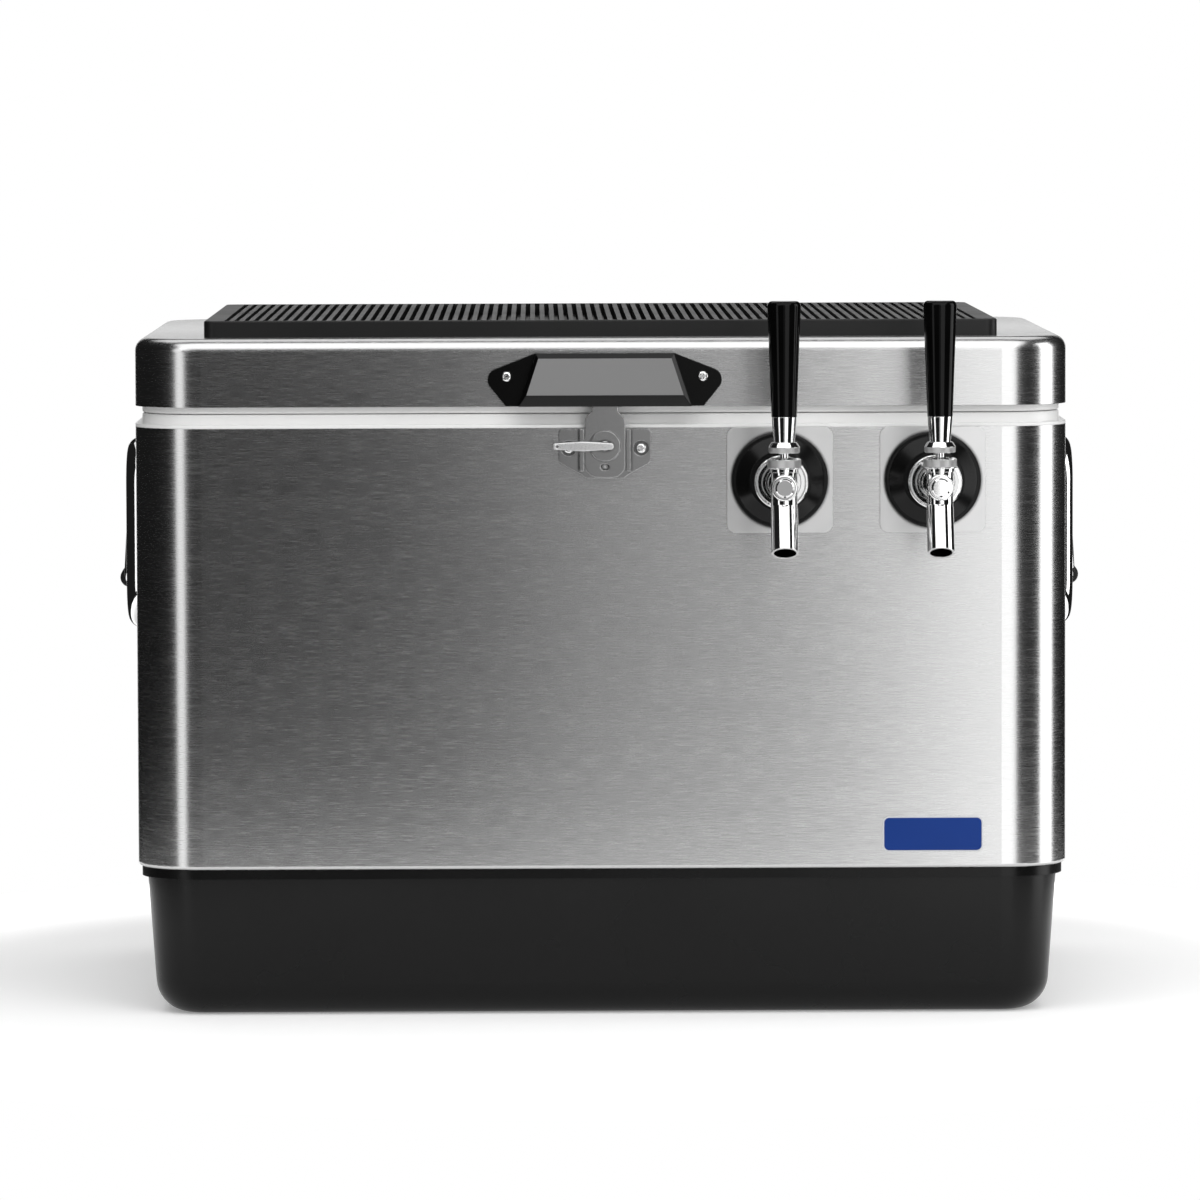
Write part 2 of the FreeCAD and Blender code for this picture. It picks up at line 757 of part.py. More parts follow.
def body_insulation():
    """Foam that fills the wall between the liner, the steel and the tub."""
    body = new_body("body_insulation")
    upper = outline(body, "Upper", "XY_Plane", box_corners(
        "body_width - 2 * steel_thickness", "body_depth - 2 * steel_thickness",
        "body_corner - steel_thickness"), "foam_base")
    pad(body, upper, "jacket_top - foam_base")
    neck = outline(body, "Neck", "XY_Plane", box_corners(
        "tub_width - 2 * tub_wall", "tub_depth - 2 * tub_wall",
        "tub_corner - tub_wall"), "jacket_bottom")
    pad(body, neck, "hem_round")
    lower = outline(body, "Lower", "XY_Plane", box_corners(
        "tub_width - 2 * tub_wall", "tub_depth - 2 * tub_wall",
        "tub_corner - tub_wall"), "jacket_bottom")
    pad(body, lower, "jacket_bottom - tub_wall", down=True, draft="tub_draft")
    fillet(body, "tub_bottom_round - tub_wall", level("Z", "tub_wall"))
    well = outline(body, "Well", "XY_Plane", box_corners(
        "cavity_width + 2 * liner_wall", "cavity_depth + 2 * liner_wall",
        "cavity_corner + liner_wall"), "jacket_top")
    pocket(body, well, "jacket_top - cavity_floor + liner_wall")
    fillet(body, "cavity_floor_round + liner_wall", level("Z", "cavity_floor - liner_wall"))
    holes(body, "XZ_Plane", front_shanks, "thread_hole", "0", True)
    holes(body, "XZ_Plane", rear_shanks, "thread_hole", "0", False)
    holes(body, "XZ_Plane", [("0", "drain_height")], "drain_diameter + 2 * shank_play", "0", False)
    holes(body, "XZ_Plane", catch_screws, "screw_diameter", "body_depth / 2 - screw_length", True)
    holes(body, "XZ_Plane", body_hinge_screws, "screw_diameter", "screw_length - body_depth / 2", False)
    for start, forward in (("body_width / 2 - handle_screw_length", True),
                           ("handle_screw_length - body_width / 2", False)):
        holes(body, "YZ_Plane", handle_screws, "screw_diameter", start, forward)
    return subpart(body, "body_insulation")


def lid_shell():
    """Brushed steel skin of the lid, turned in at its foot."""
    body = new_body("lid_shell")
    skin = outline(body, "Skin", "XY_Plane", box_corners("body_width", "body_depth", "body_corner"),
                   "lid_steel_base")
    pad(body, skin, "lid_height")
    inside = outline(body, "Inside", "XY_Plane", box_corners(
        "body_width - 2 * steel_thickness", "body_depth - 2 * steel_thickness",
        "body_corner - steel_thickness"), "lid_steel_base + steel_thickness")
    pocket(body, inside, "lid_height - 2 * steel_thickness", down=False)
    fillet(body, "lid_edge_round - steel_thickness", level("Z", "lid_top - steel_thickness"))
    fillet(body, "lid_edge_round", level("Z", "lid_top"))
    hem = outline(body, "Hem", "XY_Plane", box_corners(
        "body_width - 2 * hem_width", "body_depth - 2 * hem_width", "body_corner - hem_width"),
        "lid_steel_base")
    pocket(body, hem, "2 * steel_thickness", down=False)
    holes(body, "XZ_Plane", cover_screws, "screw_diameter", "0", True)
    holes(body, "XZ_Plane", lid_hinge_screws, "screw_diameter", "0", False)
    return subpart(body, "lid_shell")


def lid_liner():
    """White inner pan of the lid, whose plug hangs into the ice well."""
    body = new_body("lid_liner")
    rim = outline(body, "Rim", "XY_Plane", box_corners(
        "body_width - 2 * collar_recess", "body_depth - 2 * collar_recess",
        "body_corner - collar_recess"), "lid_base")
    pad(body, rim, "lid_rim_height")
    fillet(body, "collar_round", level("Z", "lid_base"))
    plug = outline(body, "Plug", "XY_Plane", box_corners(
        "cavity_width - 2 * lid_plug_clearance", "cavity_depth - 2 * lid_plug_clearance",
        "cavity_corner - lid_plug_clearance"), "lid_base")
    pad(body, plug, "lid_plug_depth", down=True)
    fillet(body, "2 * lid_pan_wall", level("Z", "lid_base - lid_plug_depth"))
    pan = outline(body, "Pan", "XY_Plane", box_corners(
        "body_width - 2 * collar_recess - 4 * lid_pan_wall",
        "body_depth - 2 * collar_recess - 4 * lid_pan_wall",
        "body_corner - collar_recess - 2 * lid_pan_wall"), "lid_steel_base")
    pocket(body, pan, "lid_rim_height - lid_pan_wall")
    hollow = outline(body, "Hollow", "XY_Plane", box_corners(
        "cavity_width - 2 * lid_plug_clearance - 2 * lid_pan_wall",
        "cavity_depth - 2 * lid_plug_clearance - 2 * lid_pan_wall",
        "cavity_corner - lid_plug_clearance - lid_pan_wall"), "lid_steel_base")
    pocket(body, hollow, "lid_rim_height + lid_plug_depth - lid_pan_wall")
    groove = gasket_ring(body, "lid_base")
    pocket(body, groove, "gasket_height - lid_gap", down=False)
    return subpart(body, "lid_liner")


def gasket_ring(body, start):
    """The gasket's two outlines, one gasket width apart."""
    loops = []
    for inset in ("(collar_recess + gasket_inset)", "(collar_recess + gasket_inset + gasket_width)"):
        loops.append(box_corners(f"body_width - 2 * {inset}", f"body_depth - 2 * {inset}",
                                 f"body_corner - {inset}"))
    return outline(body, "Gasket", "XY_Plane", loops[0], start, loops[1])


def lid_gasket():
    """Rubber ring in the lid's groove that seals on the collar."""
    body = new_body("lid_gasket")
    pad(body, gasket_ring(body, "collar_top"), "gasket_height")
    return subpart(body, "lid_gasket")


def lid_insulation():
    """Foam that fills the lid between its steel skin and its inner pan."""
    body = new_body("lid_insulation")
    upper = outline(body, "Upper", "XY_Plane", box_corners(
        "body_width - 2 * steel_thickness", "body_depth - 2 * steel_thickness",
        "body_corner - steel_thickness"), "lid_steel_base + steel_thickness")
    pad(body, upper, "lid_height - 2 * steel_thickness")
    fillet(body, "lid_edge_round - steel_thickness", level("Z", "lid_top - steel_thickness"))
    pan = outline(body, "Pan", "XY_Plane", box_corners(
        "body_width - 2 * collar_recess - 4 * lid_pan_wall",
        "body_depth - 2 * collar_recess - 4 * lid_pan_wall",
        "body_corner - collar_recess - 2 * lid_pan_wall"), "lid_base + lid_pan_wall")
    pad(body, pan, "lid_rim_height - lid_pan_wall + steel_thickness")
    plug = outline(body, "Plug", "XY_Plane", box_corners(
        "cavity_width - 2 * lid_plug_clearance - 2 * lid_pan_wall",
        "cavity_depth - 2 * lid_plug_clearance - 2 * lid_pan_wall",
        "cavity_corner - lid_plug_clearance - lid_pan_wall"),
        "lid_base - lid_plug_depth + lid_pan_wall")
    pad(body, plug, "lid_plug_depth")
    holes(body, "XZ_Plane", cover_screws, "screw_diameter", "body_depth / 2 - screw_length", True)
    holes(body, "XZ_Plane", lid_hinge_screws, "screw_diameter", "screw_length - body_depth / 2", False)
    return subpart(body, "lid_insulation")


def drip_tray():
    """Ribbed black tray on the lid: ribs run front to back between narrow grooves."""
    body = new_body("drip_tray")
    slab = outline(body, "Slab", "XY_Plane", box_corners("tray_width", "tray_depth", "tray_corner"))
    pad(body, slab, "tray_height")
    fillet(body, "tray_edge_round", level("Z", "tray_height"))
    first = "-groove_pitch * (groove_count - 1) / 2"
    groove = outline(body, "Groove", "XY_Plane", box_corners(
        "groove_width", "tray_depth - 2 * tray_end_wall", None, first), "tray_height")
    slot = pocket(body, groove, "tray_height - tray_floor")
    repeat = body.newObject("PartDesign::LinearPattern", "Grooves")
    repeat.Originals = [slot]
    repeat.Direction = (groove, ["H_Axis"])
    bind(repeat, Length="groove_pitch * (groove_count - 1)", Occurrences="groove_count")
    body.Tip = repeat
    doc.recompute()
    place(body, "0", "tray_shift", "lid_top")
    return subpart(body, "drip_tray")


def latch_cover():
    """Black moulded cover over the hasp's hinge: two flat wings and a raised bare face."""
    body = new_body("latch_cover")
    tip = "cover_tip_round"
    wings = outline(body, "Wings", "XZ_Plane", [
        ("-cover_foot_width / 2", "0"),
        ("cover_foot_width / 2", "0"),
        ("cover_tip_width / 2", "cover_tip_height", tip),
        ("cover_top_width / 2", "cover_height"),
        ("-cover_top_width / 2", "cover_height"),
        ("-cover_tip_width / 2", "cover_tip_height", tip),
    ])
    pad(body, wings, "cover_wing_depth")
    flat = "cover_depth - cover_bevel"
    trapezoid = [
        ("-cover_block_foot / 2", "0"),
        ("cover_block_foot / 2", "0"),
        ("cover_top_width / 2", "cover_height"),
        ("-cover_top_width / 2", "cover_height"),
    ]
    shoulder = outline(body, "Shoulder", "XZ_Plane", trapezoid)
    pad(body, shoulder, flat)
    back = outline(body, "BevelBack", "XZ_Plane", trapezoid, flat)
    face = outline(body, "Face", "XZ_Plane", [
        ("-cover_face_foot / 2", "cover_face_rise"),
        ("cover_face_foot / 2", "cover_face_rise"),
        ("cover_face_top / 2", "cover_height - cover_face_drop"),
        ("-cover_face_top / 2", "cover_height - cover_face_drop"),
    ], "cover_depth")
    loft(body, back, face)
    hollow = outline(body, "Hollow", "XZ_Plane", [
        ("-cover_block_foot / 2 + 2 * cover_wall", "cover_wall"),
        ("cover_block_foot / 2 - 2 * cover_wall", "cover_wall"),
        ("cover_top_width / 2 - cover_wall", "cover_height - cover_wall"),
        ("cover_wall - cover_top_width / 2", "cover_height - cover_wall"),
    ])
    pocket(body, hollow, f"{flat} - cover_wall", down=False)
    slot = outline(body, "Slot", "XZ_Plane", [
        ("-cover_slot_width / 2 - bracket_ear", "0"),
        ("cover_slot_width / 2 + bracket_ear", "0"),
        ("cover_slot_width / 2 + bracket_ear", "2 * cover_wall"),
        ("-cover_slot_width / 2 - bracket_ear", "2 * cover_wall"),
    ])
    pocket(body, slot, f"{flat} - cover_wall", down=False)
    holes(body, "XZ_Plane", [(f"{i} * cover_screw_spacing / 2", "cover_screw_height") for i in (-1, 1)],
          "screw_diameter", "0", True)
    place(body, "latch_place", "front", "cover_foot")
    return subpart(body, "latch_cover")


def hasp_bracket():
    """Steel plate on the lid with two ears for the hasp's pin."""
    half = "(hasp_neck_width / 2 + bracket_ear_gap)"
    foot = "lid_steel_base + hinge_play"
    plate = block("BracketPlate", f"2 * {half} + 2 * bracket_ear", "bracket_thickness", "bracket_height",
                  f"latch_place - {half} - bracket_ear", "front - bracket_thickness", foot)
    ears = []
    for i in (-1, 1):
        shift = f"{half}" if i > 0 else f"-{half} - bracket_ear"
        ears.append(block("Ear", "bracket_ear", "hasp_axis_depth + hasp_pin_diameter",
                          "hasp_axis_height + hasp_pin_diameter + 1",
                          f"latch_place + {shift}",
                          "front - hasp_axis_depth - hasp_pin_diameter", foot))
    bore = cylinder("BracketBore", "hasp_pin_diameter", f"2 * {half} + 4 * bracket_ear",
                    f"latch_place - {half} - 2 * bracket_ear", "hasp_axis_y", "hasp_axis_z", ALONG_X)
    return subpart(cut("Bracket", joined("BracketBody", plate, *ears), bore), "hasp_bracket")


def hasp_pin():
    half = "(hasp_neck_width / 2 + bracket_ear_gap + bracket_ear)"
    pin = cylinder("HaspPin", "hasp_pin_diameter", f"2 * {half}",
                   f"latch_place - {half}", "hasp_axis_y", "hasp_axis_z", ALONG_X)
    return subpart(pin, "hasp_pin")


def hasp():
    """Steel hasp that hangs from the lid over the catch, with a raised disc for the lever."""
    body = new_body("hasp")
    neck, wide = "hasp_neck_width / 2", "hasp_width / 2"
    plate = outline(body, "Plate", "XZ_Plane", [
        (neck, "0"),
        (f"-{neck}", "0"),
        (f"-{neck}", "-hasp_shoulder_top"),
        (f"-{wide}", "-hasp_shoulder_foot", "hasp_shoulder_round"),
        (f"-{wide}", "-hasp_length", "hasp_foot_round"),
        (wide, "-hasp_length", "hasp_foot_round"),
        (wide, "-hasp_shoulder_foot", "hasp_shoulder_round"),
        (neck, "-hasp_shoulder_top"),
    ], "-hasp_thickness / 2")
    pad(body, plate, "hasp_thickness")
    disc = circles(body, "Disc", "XZ_Plane", [("0", "-lever_drop", "disc_diameter")],
                   "hasp_thickness / 2")
    pad(body, disc, "disc_height")
    knuckle = circles(body, "Knuckle", "YZ_Plane", [("0", "0", "hasp_knuckle_diameter")])
    pad(body, knuckle, "hasp_neck_width", both=True)
    bore = circles(body, "Bore", "YZ_Plane", [("0", "0", "hasp_pin_diameter + 2 * hinge_play")])
    pocket(body, bore, "2 * hasp_width", both=True)
    eye = circles(body, "Eye", "XZ_Plane",
                  [("0", "-lever_drop", "lever_axle_diameter + 2 * hinge_play")])
    pocket(body, eye, "4 * hasp_thickness", both=True)
    hole = outline(body, "Hole", "XZ_Plane", box_corners(
        "hasp_hole_width", "hasp_hole_height", "hasp_hole_height / 2.2", "0", "-hasp_hole_drop"))
    pocket(body, hole, "4 * hasp_thickness", both=True)
    place(body, "latch_place", "hasp_axis_y", "hasp_axis_z")
    return subpart(body, "hasp")


def catch_plate():
    """Pressed steel catch on the case: a plate with two hooked lips beside the hasp."""
    body = new_body("catch_plate")
    half, shoulder = "catch_width / 2", "catch_shoulder_width / 2"
    plate = outline(body, "Plate", "XZ_Plane", [
        (f"-{half}", "0", "3"),
        (f"-{half}", "-catch_straight", "4"),
        (f"-{shoulder}", "-catch_shoulder_height"),
        (f"-{shoulder} + 3", "-catch_height"),
        (f"{shoulder} - 3", "-catch_height"),
        (shoulder, "-catch_shoulder_height"),
        (half, "-catch_straight", "4"),
        (half, "0", "3"),
    ])
    pad(body, plate, "catch_thickness")
    inner = "hasp_width / 2 + catch_lip_gap"
    top = "hasp_axis_depth + hasp_thickness / 2"
    for i in (-1, 1):
        wall = outline(body, "Wall", "XZ_Plane", [
            (f"{i} * ({inner} + catch_lip_width - catch_wall)", "0"),
            (f"{i} * ({inner} + catch_lip_width - catch_wall)", "-catch_lip_height"),
            (f"{i} * ({inner} + catch_lip_width)", "-catch_lip_height"),
            (f"{i} * ({inner} + catch_lip_width)", "0"),
        ])
        pad(body, wall, top)
        lip = outline(body, "Hook", "XZ_Plane", [
            (f"{i} * ({inner})", "0"),
            (f"{i} * ({inner})", "-catch_lip_height"),
            (f"{i} * ({inner} + catch_lip_width)", "-catch_lip_height"),
            (f"{i} * ({inner} + catch_lip_width)", "0"),
        ], f"{top} - catch_lip_thickness")
        pad(body, lip, "catch_lip_thickness")
    spots = [(f"{i} * catch_screw_spacing / 2", "-catch_screw_drop") for i in (-1, 1)]
    dimples = circles(body, "Dimples", "XZ_Plane", [(x, z, "catch_dimple_diameter") for x, z in spots],
                      "catch_thickness - catch_dimple_depth")
    pocket(body, dimples, "2 * catch_thickness", down=False)
    holes(body, "XZ_Plane", spots, "screw_diameter", "0", True)
    place(body, "latch_place", "front", "catch_top")
    return subpart(body, "catch_plate")


def latch_lever():
    """Turning lever on the hasp, with an axle and a cam that hooks behind the catch's lips."""
    body = new_body("latch_lever")
    outer = "hasp_thickness / 2 + disc_height + lever_standoff"
    axle = circles(body, "Axle", "XZ_Plane", [("0", "0", "lever_axle_diameter")],
                   "-hasp_thickness / 2 - cam_gap - cam_thickness")
    pad(body, axle, f"hasp_thickness / 2 + cam_gap + cam_thickness + {outer} + 1")
    middle = "(lever_right_reach - lever_left_reach) / 2"
    bar = outline(body, "Bar", "XZ_Plane", [
        ("-lever_left_reach", "-lever_end_height / 2", "lever_end_height / 2.3"),
        (middle, "-lever_height / 2", "60"),
        ("lever_right_reach", "-lever_end_height / 2", "lever_end_height / 2.3"),
        ("lever_right_reach", "lever_end_height / 2", "lever_end_height / 2.3"),
        (middle, "lever_height / 2", "60"),
        ("-lever_left_reach", "lever_end_height / 2", "lever_end_height / 2.3"),
    ], outer)
    pad(body, bar, "lever_thickness")
    eye = circles(body, "Eye", "XZ_Plane", [("2.6 - lever_left_reach", "0", "1.8")], outer)
    pocket(body, eye, "2 * lever_thickness", down=False)
    cam = outline(body, "Cam", "XZ_Plane", box_corners("cam_width", "cam_length", "cam_width / 2.2"),
                  "-hasp_thickness / 2 - cam_gap - cam_thickness")
    pad(body, cam, "cam_thickness")
    place(body, "latch_place", "hasp_axis_y", "lever_z")
    return subpart(body, "latch_lever")


def hinge_parts():
    """Two rear hinges: leaves on the case and the lid, interleaved knuckles and pins."""
    thick, width = "hinge_leaf_thickness", "hinge_leaf_width"
    lid_half = "hinge_lid_knuckle / 2"
    for owner in ("body", "lid"):
        halves = []
        for i in (-1, 1):
            middle = f"{i} * hinge_spacing / 2"
            left = f"{middle} - {width} / 2"
            if owner == "body":
                plate = block("Leaf", width, thick, "hinge_z - body_leaf_foot",
                              left, "rear", "body_leaf_foot")
                notch = block("Notch", "hinge_lid_knuckle + 2 * hinge_knuckle_gap", "20", "20",
                              f"{middle} - {lid_half} - hinge_knuckle_gap", "rear - 10",
                              "hinge_z - hinge_knuckle_diameter / 2 - hinge_knuckle_gap")
                knuckle = cylinder("Knuckle", "hinge_knuckle_diameter", width, left,
                                   "hinge_y", "hinge_z", ALONG_X)
                solid = cut("LeafNotched", joined("LeafRound", plate, knuckle), notch)
            else:
                plate = block("Leaf", width, thick, "lid_leaf_top - hinge_z",
                              left, "rear", "hinge_z")
                knuckle = cylinder("Knuckle", "hinge_knuckle_diameter", "hinge_lid_knuckle",
                                   f"{middle} - {lid_half}", "hinge_y", "hinge_z", ALONG_X)
                notches = []
                for j in (-1, 1):
                    shift = f"{lid_half}" if j > 0 else f"-{width} / 2 - 1"
                    notches.append(block(
                        "Notch", f"{width} / 2 - {lid_half} + 1", "20",
                        "hinge_knuckle_diameter / 2 + hinge_knuckle_gap + 10",
                        f"{middle} + {shift}", "rear - 10", "hinge_z - 10"))
                solid = cut("LeafNotched", joined("LeafRound", plate, knuckle),
                            joined("Notches", *notches))
            bore = cylinder("PinBore", "hinge_pin_diameter + 2 * hinge_play", f"{width} + 10",
                            f"{left} - 5", "hinge_y", "hinge_z", ALONG_X)
            drills = [bore]
            height = ("body_leaf_foot + hinge_screw_edge" if owner == "body"
                      else "lid_leaf_top - hinge_screw_edge")
            for j in (-1, 1):
                drills.append(cylinder("ScrewHole", "screw_diameter", "20",
                                       f"{middle} + {j} * hinge_screw_spacing / 2",
                                       "rear - 10", height, OUT_REAR))
            halves.append(cut("LeafDrilled", solid, joined("Drills", *drills)))
        doc.recompute()
        pair = doc.addObject("Part::Compound", f"hinge_leaves_{owner}")
        pair.Links = halves
        subpart(pair, f"hinge_leaves_{owner}")
    pins = doc.addObject("Part::Compound", "hinge_pins")
    pins.Links = [
        cylinder("HingePin", "hinge_pin_diameter", width, f"{i} * hinge_spacing / 2 - {width} / 2",
                 "hinge_y", "hinge_z", ALONG_X)
        for i in (-1, 1)
    ]
    subpart(pins, "hinge_pins")


def pan_screw():
    """Pan-head screw with a cross recess: its head sits on the local XY plane."""
    head = "screw_head_diameter / 2"
    body = turned("PanScrew", [
        ("0", "-screw_length"),
        ("screw_diameter / 2", "-screw_length"),
        ("screw_diameter / 2", "0"),
        (head, "0"),
        (head, "screw_head_height", "screw_head_height / 1.3"),
        ("0", "screw_head_height"),
    ])
    for width, depth in (("screw_recess", "screw_recess_width"), ("screw_recess_width", "screw_recess")):
        bar = outline(body, "Cross", "XY_Plane", box_corners(width, depth), "screw_head_height")
        pocket(body, bar, "screw_recess_depth")
    return body


def screws(master):
    """Every screw of the case in one group, and those of the lid in another."""
    case = []
    for x, z in catch_screws:
        case.append((point(x, "front - catch_thickness + catch_dimple_depth", z), OUT_FRONT))
    for x, z in body_hinge_screws:
        case.append((point(x, "rear + hinge_leaf_thickness", z), OUT_REAR))
    for sign, turn in ((1, OUT_RIGHT), (-1, OUT_LEFT)):
        for y, z in handle_screws:
            case.append((point(f"{sign} * (side + frame_sheet)", y, z), turn))
    group("case_screws", master, case)
    lid = [(point(x, "front - cover_wing_depth", z), OUT_FRONT) for x, z in cover_screws]
    for x, z in lid_hinge_screws:
        lid.append((point(x, "rear + hinge_leaf_thickness", z), OUT_REAR))
    group("lid_screws", master, lid)


def hexagon(across):
    reach = f"({across}) / 2 / cos(30deg)"
    return [(f"{reach} * cos({60 * i + 30}deg)", f"{reach} * sin({60 * i + 30}deg)") for i in range(6)]


def hex_nut(name, across, length, bores):
    """A hex nut along +Z, with bores (diameter, start, length)."""
    body = new_body(name)
    pad(body, outline(body, "Hex", "XY_Plane", hexagon(across)), length)
    for diameter, start, reach in bores:
        ring = circles(body, "Bore", "XY_Plane", [("0", "0", diameter)], start)
        pocket(body, ring, reach, down=False)
    return body


def bulkhead_nuts():
    """The four hex nuts that clamp the shanks and the inlets from inside."""
    nut = hex_nut("BulkheadNut", "nut_across", "nut_thickness",
                  [("shank_diameter", "0", "nut_thickness + 1")])
    places = []
    for x, z in front_shanks:
        places.append((point(x, "-cavity_depth / 2", z), OUT_REAR))
    for x, z in rear_shanks:
        places.append((point(x, "cavity_depth / 2", z), OUT_FRONT))
    group("bulkhead_nuts", nut, places)


def coil_unions():
    """The four compression nuts that join the coil tubes to the shanks and the inlets."""
    union = hex_nut("CoilUnion", "union_across", "union_length", [
        ("shank_diameter", "0", "union_overlap"),
        ("coil_tube + 2 * tube_play", "union_overlap", "union_length"),
    ])
    start = "cavity_depth / 2 - shank_inside + union_overlap"
    places = []
    for x, z in front_shanks:
        places.append((point(x, f"-({start})", z), OUT_REAR))
    for x, z in rear_shanks:
        places.append((point(x, start, z), OUT_FRONT))
    group("coil_unions", union, places)


def tap(name, x):
    """One tap: everything from the wall plate to the handle, on the shank's axis."""
    plate = new_body(f"faucet_plate_{name}")
    pad(plate, outline(plate, "Plate", "XY_Plane", box_corners(
        "plate_size", "plate_size", "plate_corner")), "plate_thickness")
    pocket(plate, circles(plate, "Bore", "XY_Plane", [("0", "0", "thread_hole")]), "2 * plate_thickness",
           down=False)
    place(plate, x, "front", "tap_height", OUT_FRONT)
    subpart(plate, f"faucet_plate_{name}")

    hole = "thread_hole / 2"
    rim_top = "(plate_thickness + flange_rim_thickness)"
    flange = turned(f"shank_flange_{name}", [
        (hole, "plate_thickness"),
        ("flange_diameter / 2", "plate_thickness"),
        ("flange_diameter / 2", rim_top, "flange_round"),
        ("flange_cone_diameter / 2", rim_top),
        ("flange_cone_diameter / 2", f"{rim_top} + 1", "0.9"),
        ("flange_face_diameter / 2", "plate_thickness + flange_thickness", "flange_round"),
        (hole, "plate_thickness + flange_thickness"),
    ], x, "front", "tap_height", OUT_FRONT)
    subpart(flange, f"shank_flange_{name}")

    back = "(-end_wall - shank_inside)"
    shank = turned(f"shank_{name}", [
        ("shank_bore / 2", back),
        ("shank_diameter / 2", back),
        ("shank_diameter / 2", "shank_front"),
        ("shank_bore / 2", "shank_front"),
    ], x, "front", "tap_height", OUT_FRONT)
    subpart(shank, f"shank_{name}")

    nut_base = "(plate_thickness + flange_thickness + 0.3)"
    nut_top = f"({nut_base} + coupling_length)"
    tail_top = "(shank_front + tail_thickness + 0.1)"
    neck_hole = "(neck_diameter / 2 + 0.5)"
    nut = turned(f"coupling_nut_{name}", [
        (hole, nut_base),
        ("coupling_diameter / 2", nut_base, "coupling_round"),
        ("coupling_diameter / 2", nut_top, "coupling_round"),
        ("coupling_diameter / 2 - coupling_rim - 1", nut_top),
        (neck_hole, f"{tail_top} + coupling_lip"),
        (neck_hole, tail_top),
        ("tail_diameter / 2 + shank_play", tail_top),
        ("tail_diameter / 2 + shank_play", "shank_front - 0.1"),
        (hole, "shank_front - 0.1"),
    ], x, "front", "tap_height", OUT_FRONT)
    subpart(nut, f"coupling_nut_{name}")
    faucet_body(name, x)

    nose = "(tap_reach + nose_reach)"
    button_top = f"{nose} + plug_thickness + plug_button_height"
    plug = turned(f"front_plug_{name}", [
        ("0", f"{nose} - plug_stem_length"),
        ("chamber_diameter / 2", f"{nose} - plug_stem_length"),
        ("chamber_diameter / 2", nose),
        ("nose_diameter / 2", nose),
        ("nose_diameter / 2", f"{nose} + plug_thickness", "1.2"),
        ("plug_button_diameter / 2", f"{nose} + plug_thickness"),
        ("plug_button_diameter / 2", f"{button_top} - plug_button_bevel"),
        ("plug_button_diameter / 2 - plug_button_bevel", button_top),
        ("0", button_top),
    ], x, "front", "tap_height", OUT_FRONT)
    subpart(plug, f"front_plug_{name}")

    axis_y = "(front - tap_reach)"
    bonnet = turned(f"bonnet_{name}", [
        ("ball_diameter / 2 + ball_play", "0"),
        ("bonnet_diameter / 2", "0", "bonnet_chamfer"),
        ("bonnet_diameter / 2", "bonnet_straight"),
        ("bonnet_top_diameter / 2", "bonnet_height"),
        ("bonnet_mouth_diameter / 2", "bonnet_height"),
        ("ball_diameter / 2 - 0.9", "pivot_height - barrel_top + 3.3"),
        ("ball_diameter / 2 + ball_play", "pivot_height - barrel_top + 1"),
    ], x, axis_y, "tap_height + barrel_top", None)
    subpart(bonnet, f"bonnet_{name}")
    tap_lever(name, x, axis_y)

    ferrule_foot = "(pivot_height + knurl_bottom + knurl_height + knurl_top_height)"
    ferrule_top = f"({ferrule_foot} + ferrule_height)"
    stud = "(stud_diameter / 2)"
    ferrule = turned(f"ferrule_{name}", [
        (stud, ferrule_foot),
        ("ferrule_foot_diameter / 2", ferrule_foot),
        ("ferrule_top_diameter / 2", ferrule_top),
        (stud, ferrule_top),
    ], x, axis_y, "tap_height", None)
    subpart(ferrule, f"ferrule_{name}")
    handle = turned(f"tap_handle_{name}", [
        (stud, ferrule_top),
        ("ferrule_top_diameter / 2", ferrule_top),
        ("handle_top_diameter / 2", f"{ferrule_top} + handle_height - handle_round"),
        ("handle_top_diameter / 2", f"{ferrule_top} + handle_height", "handle_round * 0.85"),
        ("0", f"{ferrule_top} + handle_height"),
        ("0", f"{ferrule_top} + stud_depth"),
        (stud, f"{ferrule_top} + stud_depth"),
    ], x, axis_y, "tap_height", None)
    subpart(handle, f"tap_handle_{name}")
    faucet_shaft(name, x)


